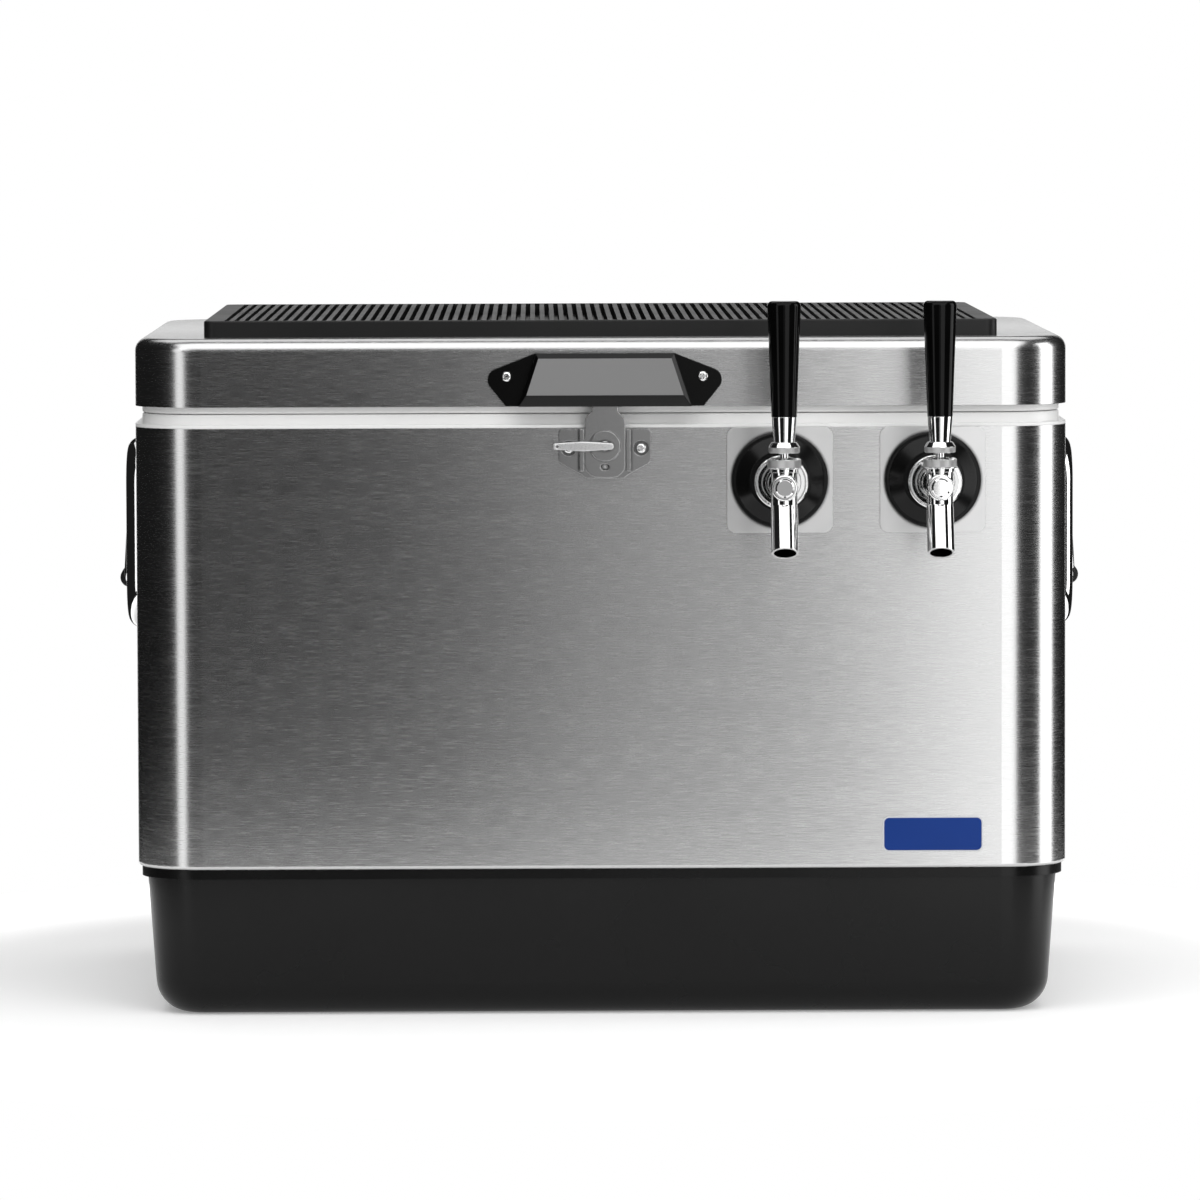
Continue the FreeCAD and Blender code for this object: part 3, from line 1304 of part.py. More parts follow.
def faucet_body(name, x):
    """Chrome casting: tail and neck on the shank's axis, upright barrel, nose and tilted spout."""
    nose, axis_y, foot = "(tap_reach + nose_reach)", "(front - tap_reach)", "tap_height - spout_start"
    neck = turned("Neck", [
        ("0", "shank_front"),
        ("tail_diameter / 2", "shank_front"),
        ("tail_diameter / 2", "shank_front + tail_thickness"),
        ("neck_diameter / 2", "shank_front + tail_thickness"),
        ("neck_diameter / 2", "shank_front + tail_thickness + 10"),
        ("neck_front_diameter / 2", "tap_reach - barrel_diameter / 2"),
        ("nose_diameter / 2", "tap_reach"),
        ("nose_diameter / 2", nose),
        ("0", nose),
    ], x, "front", "tap_height", OUT_FRONT)
    barrel = turned("Barrel", [
        ("0", "-barrel_foot"),
        ("barrel_diameter / 2", "-barrel_foot", "4"),
        ("barrel_diameter / 2", "barrel_top - 2"),
        ("collar_seat_diameter / 2", "barrel_top - 2"),
        ("collar_seat_diameter / 2", "barrel_top"),
        ("0", "barrel_top"),
    ], x, axis_y, "tap_height", None)
    tilt = Rotation(Vector(1, 0, 0), 180 - value("spout_tilt"))
    spout = cylinder("Spout", "spout_diameter", "spout_length", x, axis_y, foot, tilt)
    outside = joined("FaucetOutside", neck, barrel, spout)
    mouth = cylinder("SpoutBore", "spout_bore", "spout_length + 1", x, axis_y, foot, tilt)
    bridge = cylinder("SpoutFeed", "chamber_diameter", "spout_start + 4", x, axis_y, f"{foot} - 4")
    seat = "(tap_reach - valve_seat_place)"
    front_room = cylinder("FrontRoom", "chamber_diameter", f"{nose} - {seat} + 1", x,
                          f"front - {seat}", "tap_height", OUT_FRONT)
    throat = cylinder("Throat", "valve_seat_diameter", "valve_seat_length + 2", x,
                      f"front - {seat} + valve_seat_length + 1", "tap_height", OUT_FRONT)
    rear_room = cylinder("RearRoom", "chamber_diameter", f"{seat} - valve_seat_length - shank_front + 1",
                         x, "front - shank_front + 1", "tap_height", OUT_FRONT)
    socket = cylinder("Socket", "socket_diameter", "socket_depth + 1", x, axis_y,
                      "tap_height + barrel_top - socket_depth", None)
    inside = joined("FaucetInside", mouth, bridge, front_room, throat, rear_room, socket)
    subpart(cut(f"Faucet_{name}", outside, inside), f"faucet_body_{name}")


def tap_lever(name, x, axis_y):
    """Chrome lever: ball pivot, tail pin, knurled collar and the stud that holds the handle."""
    ball = doc.addObject("Part::Sphere", "Ball")
    bind(ball, Radius="ball_diameter / 2")
    place(ball, x, axis_y, "tap_height + pivot_height")
    stem = cylinder("Stem", "stem_diameter", "knurl_bottom + knurl_height", x, axis_y,
                    "tap_height + pivot_height", None)
    tail = cylinder("Tail", "tail_pin_diameter", "tail_ball_drop", x, axis_y,
                    "tap_height + pivot_height - tail_ball_drop", None)
    tip = doc.addObject("Part::Sphere", "TailBall")
    bind(tip, Radius="tail_ball_diameter / 2")
    place(tip, x, axis_y, "tap_height + pivot_height - tail_ball_drop")
    collar = turned("Knurl", [
        ("0", "knurl_bottom"),
        ("knurl_foot_diameter / 2", "knurl_bottom"),
        ("knurl_diameter / 2", "knurl_bottom + knurl_shoulder"),
        ("knurl_diameter / 2", "knurl_bottom + knurl_height"),
        ("knurl_top_diameter / 2", "knurl_bottom + knurl_height + knurl_top_height"),
        ("0", "knurl_bottom + knurl_height + knurl_top_height"),
    ], x, axis_y, "tap_height + pivot_height", None)
    stud = cylinder("Stud", "stud_diameter",
                    "knurl_height + knurl_top_height + ferrule_height + stud_depth",
                    x, axis_y, "tap_height + pivot_height + knurl_bottom", None)
    subpart(joined(f"Lever_{name}", ball, stem, tail, tip, collar, stud), f"tap_lever_{name}")


def faucet_shaft(name, x):
    """Valve shaft: two discs take the lever's tail between them, and a head closes the seat."""
    slot = "(tail_ball_diameter / 2 + shaft_slot_play)"
    disc = "shaft_disc_diameter / 2"
    rod = "shaft_rod_diameter / 2"
    seat_back = "(tap_reach - valve_seat_place - valve_seat_length - 0.05)"
    shaft = turned(f"faucet_shaft_{name}", [
        ("0", f"{seat_back} - valve_head_thickness"),
        (disc, f"{seat_back} - valve_head_thickness"),
        (disc, seat_back),
        (rod, seat_back),
        (rod, f"tap_reach - {slot} - shaft_disc_thickness"),
        (disc, f"tap_reach - {slot} - shaft_disc_thickness"),
        (disc, f"tap_reach - {slot}"),
        (rod, f"tap_reach - {slot}"),
        (rod, f"tap_reach + {slot}"),
        (disc, f"tap_reach + {slot}"),
        (disc, f"tap_reach + {slot} + shaft_disc_thickness"),
        ("0", f"tap_reach + {slot} + shaft_disc_thickness"),
    ], x, "front", "tap_height", OUT_FRONT)
    subpart(shaft, f"faucet_shaft_{name}")


def inlets():
    """Beer inlets at the rear: shanks through the wall, each with a flange and a threaded end."""
    back = "(-end_wall - shank_inside)"
    collar_end = "(inlet_flange_thickness + inlet_collar_thickness)"
    thread_start = f"({collar_end} + thread_relief)"
    for name, sign in SIDES.items():
        shank = turned(f"inlet_shank_{name}", [
            ("shank_bore / 2", back),
            ("shank_diameter / 2", back),
            ("shank_diameter / 2", "inlet_flange_thickness"),
            ("inlet_collar_diameter / 2", "inlet_flange_thickness"),
            ("inlet_collar_diameter / 2", collar_end),
            ("thread_relief_diameter / 2", collar_end),
            ("thread_relief_diameter / 2", thread_start),
            ("shank_diameter / 2", thread_start),
            ("shank_diameter / 2", f"{thread_start} + inlet_thread_length"),
            ("shank_bore / 2", f"{thread_start} + inlet_thread_length"),
        ], f"{sign} * inlet_place", "rear", "inlet_height", OUT_REAR)
        subpart(shank, f"inlet_shank_{name}")
    flange = turned("InletFlange", [
        ("shank_diameter / 2", "0"),
        ("inlet_flange_diameter / 2", "0"),
        ("inlet_flange_diameter / 2", "inlet_flange_thickness * 0.5"),
        ("inlet_flange_diameter / 2 * 0.75", "inlet_flange_thickness"),
        ("shank_diameter / 2", "inlet_flange_thickness"),
    ])
    group("inlet_flanges", flange, [(point(x, "rear", z), OUT_REAR) for x, z in rear_shanks])


def arc_through(start, corner, end):
    """The arc from start to end that is tangent to both legs of an even-legged corner."""
    middle = (start + end) * 0.5
    half = (start - middle).Length
    leg = (corner - start).Length
    top = middle + (corner - middle) * (half / (leg + half))
    return Part.Arc(start, top, end).toShape()


def biarc(start, start_way, end, end_way):
    """Two tangent arcs between two points with given directions."""
    chord = end - start
    ways = start_way + end_way
    spread = 2 * (1 - start_way.dot(end_way))
    reach = (-chord.dot(ways) + math.sqrt(chord.dot(ways) ** 2 + spread * chord.dot(chord))) / spread
    first = start + start_way * reach
    second = end - end_way * reach
    joint = (first + second) * 0.5
    return [arc_through(start, first, joint), arc_through(joint, second, end)]


def rounded_run(points, bends):
    """Straight runs through points, with a tangent arc of its own bend at each inner point."""
    edges = []
    last = points[0]
    for before, corner, after, bend in zip(points, points[1:], points[2:], bends):
        back = (before - corner).normalize()
        ahead = (after - corner).normalize()
        reach = bend / math.tan(back.getAngle(ahead) / 2)
        start = corner + back * reach
        end = corner + ahead * reach
        edges.append(Part.LineSegment(last, start).toShape())
        edges.append(arc_through(start, corner, end))
        last = end
    edges.append(Part.LineSegment(last, points[-1]).toShape())
    return edges


def coil(name, sign):
    """Stainless cooling coil: an inlet run, a stack of turns and an outlet run to its shank."""
    centre = point(f"{sign} * coil_place", "0", "coil_base")
    radius, pitch, bend = value("coil_radius"), value("coil_pitch"), value("coil_bend")
    left = sign < 0
    turns = value("coil_turns - 0.75") if left else value("coil_turns")
    first = math.pi if left else 0.0
    spin = 1 if left else -1

    def at(turn):
        angle = first + spin * 2 * math.pi * turn
        return centre + Vector(radius * math.cos(angle), radius * math.sin(angle), pitch * turn)

    def way(turn):
        angle = first + spin * 2 * math.pi * turn
        rise = pitch / (2 * math.pi)
        return Vector(-spin * radius * math.sin(angle), spin * radius * math.cos(angle), rise).normalize()

    inside = "cavity_depth / 2 - shank_inside"
    inlet = point(f"{sign} * inlet_place", inside, "inlet_height")
    clear = 4 * bend
    lead_in = [inlet, inlet - Vector(0, 1.5 * bend, 0), at(0) - way(0) * 2.75 * bend, at(0)]
    tap_place = TAPS[name]
    outlet = point(tap_place, f"-({inside})", "tap_height")
    if left:
        run_y = at(turns).y - 4.5
        lead_out = [at(turns), at(turns) + way(turns) * 2.4 * bend,
                    Vector(centre.x + radius + 0.35 * bend, run_y, outlet.z),
                    Vector(outlet.x, run_y, outlet.z), outlet]
    else:
        lead_out = [at(turns), at(turns) + way(turns) * 2.25 * bend,
                    outlet + Vector(0, 1.45 * bend, 0), outlet]
    edges = rounded_run(lead_in, [bend] * 2)
    steps = math.ceil(2 * turns)
    marks = [turns * i / steps for i in range(steps + 1)]
    for here, there in zip(marks, marks[1:]):
        edges += biarc(at(here), way(here), at(there), way(there))
    edges += rounded_run(lead_out, [bend] * 3)
    path = Part.Wire(edges)
    tube = value("coil_tube")
    ring = Part.Wire([Part.makeCircle(tube / 2, inlet, Vector(0, -1, 0))])
    solid = path.makePipeShell([ring], True, False)
    item = doc.addObject("Part::Feature", f"coil_{name}")
    item.Shape = solid
    report_coil(name, path, edges, tube, turns, solid, clear)
    return subpart(item, f"coil_{name}")


def report_coil(name, path, edges, tube, turns, solid, clear):
    """Prints the tube's length, volume and least gap to itself, measured on points."""
    spots, along, run = [], [], 0.0
    for edge in edges:
        count = max(2, int(edge.Length / 4))
        for i in range(count):
            low, high = edge.FirstParameter, edge.LastParameter
            spots.append(edge.valueAt(low + (high - low) * i / count))
            along.append(run + edge.Length * i / count)
        run += edge.Length
    gap = 1e9
    for i, spot in enumerate(spots):
        for j in range(i + 1, len(spots)):
            if along[j] - along[i] > clear:
                gap = min(gap, (spots[j] - spot).Length)
    share = solid.Volume / (math.pi * tube * tube / 4 * path.Length)
    print(f"coil_{name}: {turns:.2f} turns, {path.Length:.0f} mm long, least gap {gap - tube:.2f} mm,"
          f" volume over section times length {share:.4f}, valid {solid.isValid()}")


def coil_frames():
    """Two stands, each a ring on the floor of the well with four posts that hold the turns apart."""
    stands = []
    for name, sign in SIDES.items():
        body = new_body(f"CoilFrame_{name}")
        inner = "(coil_radius - coil_tube / 2 - coil_play)"
        outer = "(coil_radius + coil_tube / 2 + coil_play)"
        turns = "coil_turns" if name == "left" else "coil_turns + 1"
        under = f"(coil_foot + coil_pitch * ({turns}) + coil_tube / 2)"
        ring = circles(body, "Ring", "XY_Plane", [("0", "0", f"2 * {outer} + 2 * coil_post_thickness"),
                                                 ("0", "0", f"2 * {inner} - 2 * coil_post_thickness")])
        pad(body, ring, "coil_foot - coil_foot_drop")
        post = outline(body, "Post", "XZ_Plane", [
            (f"{inner} - coil_post_thickness", "0"),
            (inner, "0"),
            (inner, under),
            (outer, under),
            (outer, "0"),
            (f"{outer} + coil_post_thickness", "0"),
            (f"{outer} + coil_post_thickness", f"{under} + coil_post_thickness"),
            (f"{inner} - coil_post_thickness", f"{under} + coil_post_thickness"),
        ])
        bow = pad(body, post, "coil_post_width", both=True)
        around = body.newObject("PartDesign::PolarPattern", "Posts")
        around.Originals = [bow]
        around.Axis = (ring, ["N_Axis"])
        around.Angle = 360
        around.Occurrences = 4
        body.Tip = around
        doc.recompute()
        place(body, f"{sign} * coil_place", "0", "cavity_floor", Rotation(Vector(0, 0, 1), 45))
        stands.append(body)
    doc.recompute()
    pair = doc.addObject("Part::Compound", "coil_frames")
    pair.Links = stands
    return subpart(pair, "coil_frames")


def side_handle(name, sign):
    """Pressed chrome frame on a side of the case, hollow at the back, with holes for the bail."""
    middle = "(frame_height / 2)"
    frame = new_body(f"HandleFrame_{name}")

    def loops(grow):
        outer = box_corners(f"frame_width - 2 * ({grow})", f"frame_height - 2 * ({grow})",
                            f"frame_corner - {grow}", "0", middle)
        inner = box_corners(f"frame_width - 2 * frame_border + 2 * ({grow})",
                            f"frame_height - 2 * frame_border + 2 * ({grow})",
                            f"frame_corner - frame_border + {grow}", "0", middle)
        return outer, inner

    outer, inner = loops("0")
    pad(frame, outline(frame, "Ring", "YZ_Plane", outer, "0", inner), "frame_depth")
    on_face = level("X", "frame_depth")
    window = value("frame_width / 2 - frame_border") + 0.01
    low, high = value("frame_border") - 0.01, value("frame_height - frame_border") + 0.01

    def round_window(edge):
        box = edge.BoundBox
        return max(abs(box.YMin), abs(box.YMax)) < window and box.ZMin > low and box.ZMax < high

    fillet(frame, "frame_round", lambda edge: on_face(edge) and not round_window(edge))
    fillet(frame, "frame_inner_round", lambda edge: on_face(edge) and round_window(edge))
    for grow, start, depth in (
            ("frame_sheet", "frame_sheet", "frame_depth - frame_round"),
            ("frame_hollow_inset", "frame_sheet", "frame_depth - 2 * frame_sheet")):
        outer, inner = loops(grow)
        channel = outline(frame, "Channel", "YZ_Plane", outer, start, inner)
        pocket(frame, channel, depth, down=False)
    level_z = "(bail_axis_height - frame_bottom)"
    bore = circles(frame, "PivotBore", "XZ_Plane",
                   [("bail_axis_depth", level_z, "bail_wire + 2 * hinge_play")])
    pocket(frame, bore, "frame_width - 2 * frame_border + 2 * frame_pivot_depth", both=True)
    screws_here = circles(frame, "ScrewHoles", "YZ_Plane",
                          [(y, f"{z} - frame_bottom", "screw_diameter") for y, z in handle_screws])
    pocket(frame, screws_here, "2 * frame_sheet", down=False)
    access = circles(frame, "ScrewAccess", "YZ_Plane",
                     [(y, f"{z} - frame_bottom", "frame_access") for y, z in handle_screws],
                     "frame_sheet")
    pocket(frame, access, "2 * frame_depth", down=False)
    turn = Rotation() if sign > 0 else Rotation(Vector(0, 0, 1), 180)
    place(frame, f"{sign} * side", "0", "frame_bottom", turn)
    subpart(frame, f"handle_frame_{name}")

    wire = value("bail_wire")
    axis_x = f"{sign} * (side + bail_axis_depth)"
    grip_x = f"{sign} * (side + grip_depth)"
    half, stub = "(bail_span / 2)", "(bail_span / 2 + bail_stub)"
    low = "(bail_axis_height - bail_drop)"
    places = [
        point(axis_x, f"-{stub}", "bail_axis_height"),
        point(axis_x, f"-{half}", "bail_axis_height"),
        point(grip_x, f"-{half}", low),
        point(grip_x, half, low),
        point(axis_x, half, "bail_axis_height"),
        point(axis_x, stub, "bail_axis_height"),
    ]
    bends = [value("bail_end_bend"), value("bail_bend"), value("bail_bend"), value("bail_end_bend")]
    path = Part.Wire(rounded_run(places, bends))
    ring = Part.Wire([Part.makeCircle(wire / 2, places[0], Vector(0, 1, 0))])
    bail = doc.addObject("Part::Feature", f"bail_{name}")
    bail.Shape = path.makePipeShell([ring], True, False)
    subpart(bail, f"bail_{name}")

    end = "(grip_length / 2)"
    grip = turned(f"grip_{name}", [
        ("bail_wire / 2", f"-{end}"),
        ("grip_end_diameter / 2", f"-{end}", "grip_round"),
        ("grip_diameter / 2", f"-{end} / 3"),
        ("grip_diameter / 2", f"{end} / 3"),
        ("grip_end_diameter / 2", end, "grip_round"),
        ("bail_wire / 2", end),
    ], grip_x, "0", low, OUT_REAR)
    subpart(grip, f"grip_{name}")


def drain():
    """Drain through the rear wall, low in the well, with a push-in plug outside."""
    inside = "(-end_wall)"
    outside = "(-drain_boss_recess)"
    flange_top = f"({outside} + drain_flange_thickness)"
    spigot = turned("drain_spigot", [
        ("drain_bore / 2", f"{inside} - drain_inside_flange"),
        ("drain_flange_diameter / 2", f"{inside} - drain_inside_flange"),
        ("drain_flange_diameter / 2", inside),
        ("drain_diameter / 2", inside),
        ("drain_diameter / 2", outside),
        ("drain_flange_diameter / 2", outside),
        ("drain_flange_diameter / 2", flange_top),
        ("drain_bore / 2", flange_top),
    ], "0", "rear", "drain_height", OUT_REAR)
    subpart(spigot, "drain_spigot")
    plug = turned("drain_plug", [
        ("0", f"{flange_top} - plug_stem"),
        ("drain_bore / 2 - plug_stem_play", f"{flange_top} - plug_stem"),
        ("drain_bore / 2 - plug_stem_play", flange_top),
        ("plug_cap_diameter / 2", flange_top),
        ("plug_cap_diameter / 2", f"{flange_top} + plug_cap_height", "1"),
        ("0", f"{flange_top} + plug_cap_height"),
    ], "0", "rear", "drain_height", OUT_REAR)
    subpart(plug, "drain_plug")


def build():
    base_tub()
    body_jacket()
    body_insulation()
    liner()
    lid_shell()
    lid_liner()
    lid_gasket()
    lid_insulation()
    drip_tray()
    latch_cover()
    hasp_bracket()
    hasp_pin()
    hasp()
    catch_plate()
    latch_lever()
    hinge_parts()
    screws(pan_screw())
    bulkhead_nuts()
    coil_unions()
    for name, x in TAPS.items():
        tap(name, x)
    inlets()
    for name, sign in SIDES.items():
        coil(name, sign)
    coil_frames()
    for name, sign in SIDES.items():
        side_handle(name, sign)
    drain()
    doc.recompute()


def check():
    """Stops on any failed object or bad solid before a file is written."""
    faults = []
    for item in doc.Objects:
        bad = {"Invalid", "Error"} & set(item.State)
        if bad:
            owner = item.getParentGeoFeatureGroup()
            faults.append(f"{owner.Label if owner else ''}/{item.Label} is {sorted(bad)}")
    for item in subparts:
        shape = item.Shape
        if shape.isNull() or not shape.isValid() or not shape.Solids:
            faults.append(f"{item.Label} has no valid solid")
    if faults:
        raise RuntimeError("\n".join(faults))


build()
check()
for item in subparts:
    item.Shape.exportStep(f"parts/{item.Label}.step")
print(f"{len(subparts)} sub-parts")
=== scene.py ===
"""Looks of the jockey box beer cooler: materials, small trim, studio and camera, in metres."""

import math

import bmesh
import bpy
from mathutils import Matrix, Vector


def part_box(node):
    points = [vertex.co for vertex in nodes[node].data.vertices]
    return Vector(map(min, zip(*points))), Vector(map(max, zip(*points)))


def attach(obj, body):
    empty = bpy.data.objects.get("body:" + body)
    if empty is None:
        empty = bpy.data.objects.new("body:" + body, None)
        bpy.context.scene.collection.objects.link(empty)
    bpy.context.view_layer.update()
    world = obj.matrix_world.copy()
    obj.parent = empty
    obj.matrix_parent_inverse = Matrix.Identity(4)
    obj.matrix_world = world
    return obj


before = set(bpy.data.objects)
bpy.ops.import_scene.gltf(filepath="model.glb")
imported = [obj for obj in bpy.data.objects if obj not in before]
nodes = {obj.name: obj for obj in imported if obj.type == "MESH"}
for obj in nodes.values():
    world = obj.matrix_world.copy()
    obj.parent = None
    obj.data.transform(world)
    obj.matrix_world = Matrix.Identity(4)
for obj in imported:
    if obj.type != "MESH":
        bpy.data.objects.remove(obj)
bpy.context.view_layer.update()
MM = 0.001

# Camera, fitted to the photograph
LENS = 225.0
CAMERA_PLACE = (-0.0405, -4.8, 0.578)
CAMERA_PITCH = 3.98
CAMERA_YAW = 0.49
CAMERA_ROLL = 0.18

# Floor: its own glow rises from the near share to full white at the rim
FLOOR_RADIUS = 0.66
GLOW_STARTS = 0.42
GLOW_IS_FULL = 0.64
NEAR_GLOW = 0.25
FLOOR_GREY = 0.8

# World: white behind the object for mirrored rays, a dark room elsewhere
BEHIND = 0.96
ROOM = 0.012
ROOM_FOR_DIFFUSE = 0.3

# Badge place on the front
BADGE_FROM_SIDE = 84.4 * MM
BADGE_ABOVE_FOOT = 21.2 * MM
BADGE_WIDTH = 60 * MM
BADGE_HEIGHT = 20 * MM
BADGE_ROUND = 3 * MM
BADGE_RIM = 1 * MM
RIM_THICKNESS = 0.5 * MM
BADGE_THICKNESS = 0.8 * MM
ROUND_STEPS = 6

# Knurled bands of the bonnets and levers
KNURL_TURNS = 26.0
KNURL_RISE = 2600.0
KNURL_INNER_RADIUS = 8.6 * MM
BONNET_BAND = (0.8 * MM, 5.4 * MM)
LEVER_BAND = (-6.3 * MM, -3.0 * MM)

# Places read from the model
TAP_X = {side: sum(corner.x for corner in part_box(f"tap_handle_{side}")) / 2 for side in ("left", "right")}
TAP_Y = sum(corner.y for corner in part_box("tap_handle_left")) / 2
FRONT_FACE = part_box("body_jacket")[0].y
BONNET_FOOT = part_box("bonnet_left")[0].z
FERRULE_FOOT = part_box("ferrule_left")[0].z
COVER_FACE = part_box("latch_cover")[0].y
CASE_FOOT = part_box("body_jacket")[0].z
CASE_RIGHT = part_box("body_jacket")[1].x


class Shader:
    """A material's node tree, with short calls to add nodes and join them."""

    def __init__(self, name, **values):
        self.material = bpy.data.materials.new(name)
        self.material.use_nodes = True
        self.tree = self.material.node_tree
        self.surface = self.tree.nodes["Principled BSDF"]
        for key, value in values.items():
            self.surface.inputs[key.replace("_", " ")].default_value = value

    def add(self, kind, *inputs, out=0, **properties):
        """Adds a node, fills its inputs in order (None skips one) and returns an output."""
        node = self.tree.nodes.new(f"ShaderNode{kind}")
        for key, value in properties.items():
            setattr(node, key, value)
        for slot, value in zip(node.inputs, inputs):
            self.feed(slot, value)
        return node.outputs[out]

    def feed(self, slot, value):
        if isinstance(value, bpy.types.NodeSocket):
            self.tree.links.new(value, slot)
        elif value is not None:
            slot.default_value = value

    def math(self, operation, *inputs):
        return self.add("Math", *inputs, operation=operation)

    def place(self):
        """The point on the piece in the model's own frame."""
        return self.add("TexCoord", out=3)

    def stretched(self, scale):
        """The point, with each axis multiplied by its scale."""
        return self.add("VectorMath", self.place(), scale, operation="MULTIPLY")

    def noise(self, scale, detail=2.0):
        node = self.tree.nodes.new("ShaderNodeTexNoise")
        node.inputs["Scale"].default_value = 1.0
        node.inputs["Detail"].default_value = detail
        self.feed(node.inputs["Vector"], self.stretched(scale))
        return node.outputs["Fac"]

    def span(self, value, low, high, to_low, to_high):
        """Maps low..high onto to_low..to_high, held at both ends."""
        node = self.tree.nodes.new("ShaderNodeMapRange")
        for slot, item in zip(node.inputs, (value, low, high, to_low, to_high)):
            self.feed(slot, item)
        return node.outputs[0]

    def blend(self, factor, first, second):
        node = self.tree.nodes.new("ShaderNodeMix")
        node.data_type = "RGBA"
        self.feed(node.inputs[0], factor)
        self.feed(node.inputs[6], first)
        self.feed(node.inputs[7], second)
        return node.outputs[2]

    def bump(self, height, distance, strength=1.0, under=None):
        node = self.tree.nodes.new("ShaderNodeBump")
        node.inputs["Strength"].default_value = strength
        node.inputs["Distance"].default_value = distance
        self.feed(node.inputs["Height"], height)
        if under is not None:
            self.feed(node.inputs["Normal"], under)
        return node.outputs[0]

    def soft_edges(self, radius):
        node = self.tree.nodes.new("ShaderNodeBevel")
        node.samples = 4
        node.inputs["Radius"].default_value = radius
        return node.outputs[0]

    def axes(self):
        """The three coordinates of the point."""
        node = self.tree.nodes.new("ShaderNodeSeparateXYZ")
        self.feed(node.inputs[0], self.place())
        return node.outputs

    def use(self, **sockets):
        for key, value in sockets.items():
            self.feed(self.surface.inputs[key.replace("_", " ")], value)


def grey(level, alpha=1.0):
    return (level, level, level, alpha)


def brushed_steel():
    """Stainless sheet with short horizontal scratches, and a grain along X on the lid's top."""
    made = Shader("brushed_steel", Metallic=1.0, Anisotropic=0.5, Anisotropic_Rotation=0.25)
    sides = made.noise((70, 70, 2200), 2.0)
    top = made.noise((70, 2200, 70), 2.0)
    facing = made.tree.nodes.new("ShaderNodeSeparateXYZ")
    made.feed(facing.inputs[0], made.add("TexCoord", out=1))
    upward = made.math("GREATER_THAN", facing.outputs[2], 0.7)
    grain = made.blend(upward, sides, top)
    broad = made.noise((9, 9, 120), 2.0)
    mixed = made.math("ADD", made.math("MULTIPLY", grain, 0.85), made.math("MULTIPLY", broad, 0.15))
    made.use(
        Base_Color=made.blend(made.span(mixed, 0.3, 0.7, 0.0, 1.0), grey(0.54), grey(0.62)),
        Roughness=made.span(mixed, 0.3, 0.7, 0.22, 0.29),
        Normal=made.bump(mixed, 0.00002, 0.1, made.soft_edges(0.0004)),
        Tangent=made.add("Tangent", direction_type="RADIAL", axis="Z"),
    )
    return made.material


def satin_steel(name, level, roughness, edge=0.0005):
    """Sheet steel with a fine even grain, softened edges and painted shade darkening the gaps between the
    sheets.
    """
    made = Shader(name, Metallic=1.0)
    fine = made.noise((2400, 2400, 2400), 2.0)
    cloud = made.noise((60, 60, 60), 2.0)
    # painted shade: ambient occlusion turns the base colour near black in crevices and gaps between parts,
    # where shade falls
    painted_gap_shade = made.add("AmbientOcclusion", None, 0.0025, out=1, samples=8)
    sheet = made.blend(cloud, grey(level * 0.95), grey(level * 1.05))
    made.use(
        Base_Color=made.blend(made.span(painted_gap_shade, 0.45, 0.9, 0.0, 1.0), grey(0.02), sheet),
        Roughness=made.span(fine, 0.3, 0.7, roughness - 0.04, roughness + 0.04),
        Normal=made.bump(fine, 0.00001, 0.2, made.soft_edges(edge)),
    )
    return made.material


def chrome(name="chrome"):
    """Polished chrome plate with faint waviness."""
    made = Shader(name, Metallic=1.0, Base_Color=grey(0.82))
    wave = made.noise((60, 60, 60), 1.0)
    made.use(
        Roughness=made.span(wave, 0.3, 0.7, 0.03, 0.06),
        Normal=made.bump(wave, 0.00001, 0.1, made.soft_edges(0.0005)),
    )
    return made.material


def knurled_chrome(side, piece, foot, band):
    """Chrome with diamond knurling round the tap's axis between two heights, with painted shade darkening
    the knurl's valleys.
    """
    made = Shader(f"knurled_{piece}_{side}", Metallic=1.0)
    x, y, z = made.axes()
    across = made.math("SUBTRACT", x, TAP_X[side])
    along = made.math("SUBTRACT", y, TAP_Y)
    turn = made.math("MULTIPLY", made.math("ARCTAN2", along, across), KNURL_TURNS)
    rise = made.math("MULTIPLY", z, KNURL_RISE)
    one = made.math("ABSOLUTE", made.math("SINE", made.math("ADD", turn, rise)))
    other = made.math("ABSOLUTE", made.math("SINE", made.math("SUBTRACT", turn, rise)))
    diamonds = made.math("MULTIPLY", one, other)
    above = made.math("GREATER_THAN", z, foot + band[0])
    below = made.math("LESS_THAN", z, foot + band[1])
    radius = made.math("SQRT", made.math("ADD", made.math("POWER", across, 2.0),
                                         made.math("POWER", along, 2.0)))
    outside = made.math("GREATER_THAN", radius, KNURL_INNER_RADIUS)
    knurled = made.math("MULTIPLY", made.math("MULTIPLY", above, below), outside)
    height = made.math("MULTIPLY", diamonds, knurled)
    # painted shade: the knurl's valleys get a darker base colour, as if shaded
    painted_valley_shade = made.span(diamonds, 0.05, 0.5, 0.0, 1.0)
    made.use(
        Base_Color=made.blend(knurled, grey(0.8), made.blend(painted_valley_shade, grey(0.22), grey(0.7))),
        Roughness=made.span(knurled, 0.0, 1.0, 0.05, 0.3),
        Normal=made.bump(height, 0.0002, 0.8, made.soft_edges(0.0003)),
    )
    return made.material


def moulded(name, tint, roughness, texture=0.00003, grain=1600, edge=0.0006, gloss=0.2, uneven=0.12):
    """Moulded plastic with a fine stipple, slightly uneven in colour and gloss."""
    made = Shader(name)
    stipple = made.noise((grain, grain, grain), 3.0)
    cloud = made.noise((14, 14, 14), 3.0)
    made.surface.inputs["Specular IOR Level"].default_value = gloss
    dark = tuple(part * (1 - uneven) for part in tint) + (1.0,)
    light = tuple(min(1.0, part * (1 + uneven)) for part in tint) + (1.0,)
    made.use(
        Base_Color=made.blend(cloud, dark, light),
        Roughness=made.span(cloud, 0.3, 0.7, roughness - 0.04, roughness + 0.04),
        Normal=made.bump(stipple, texture, 0.5, made.soft_edges(edge)),
    )
    return made


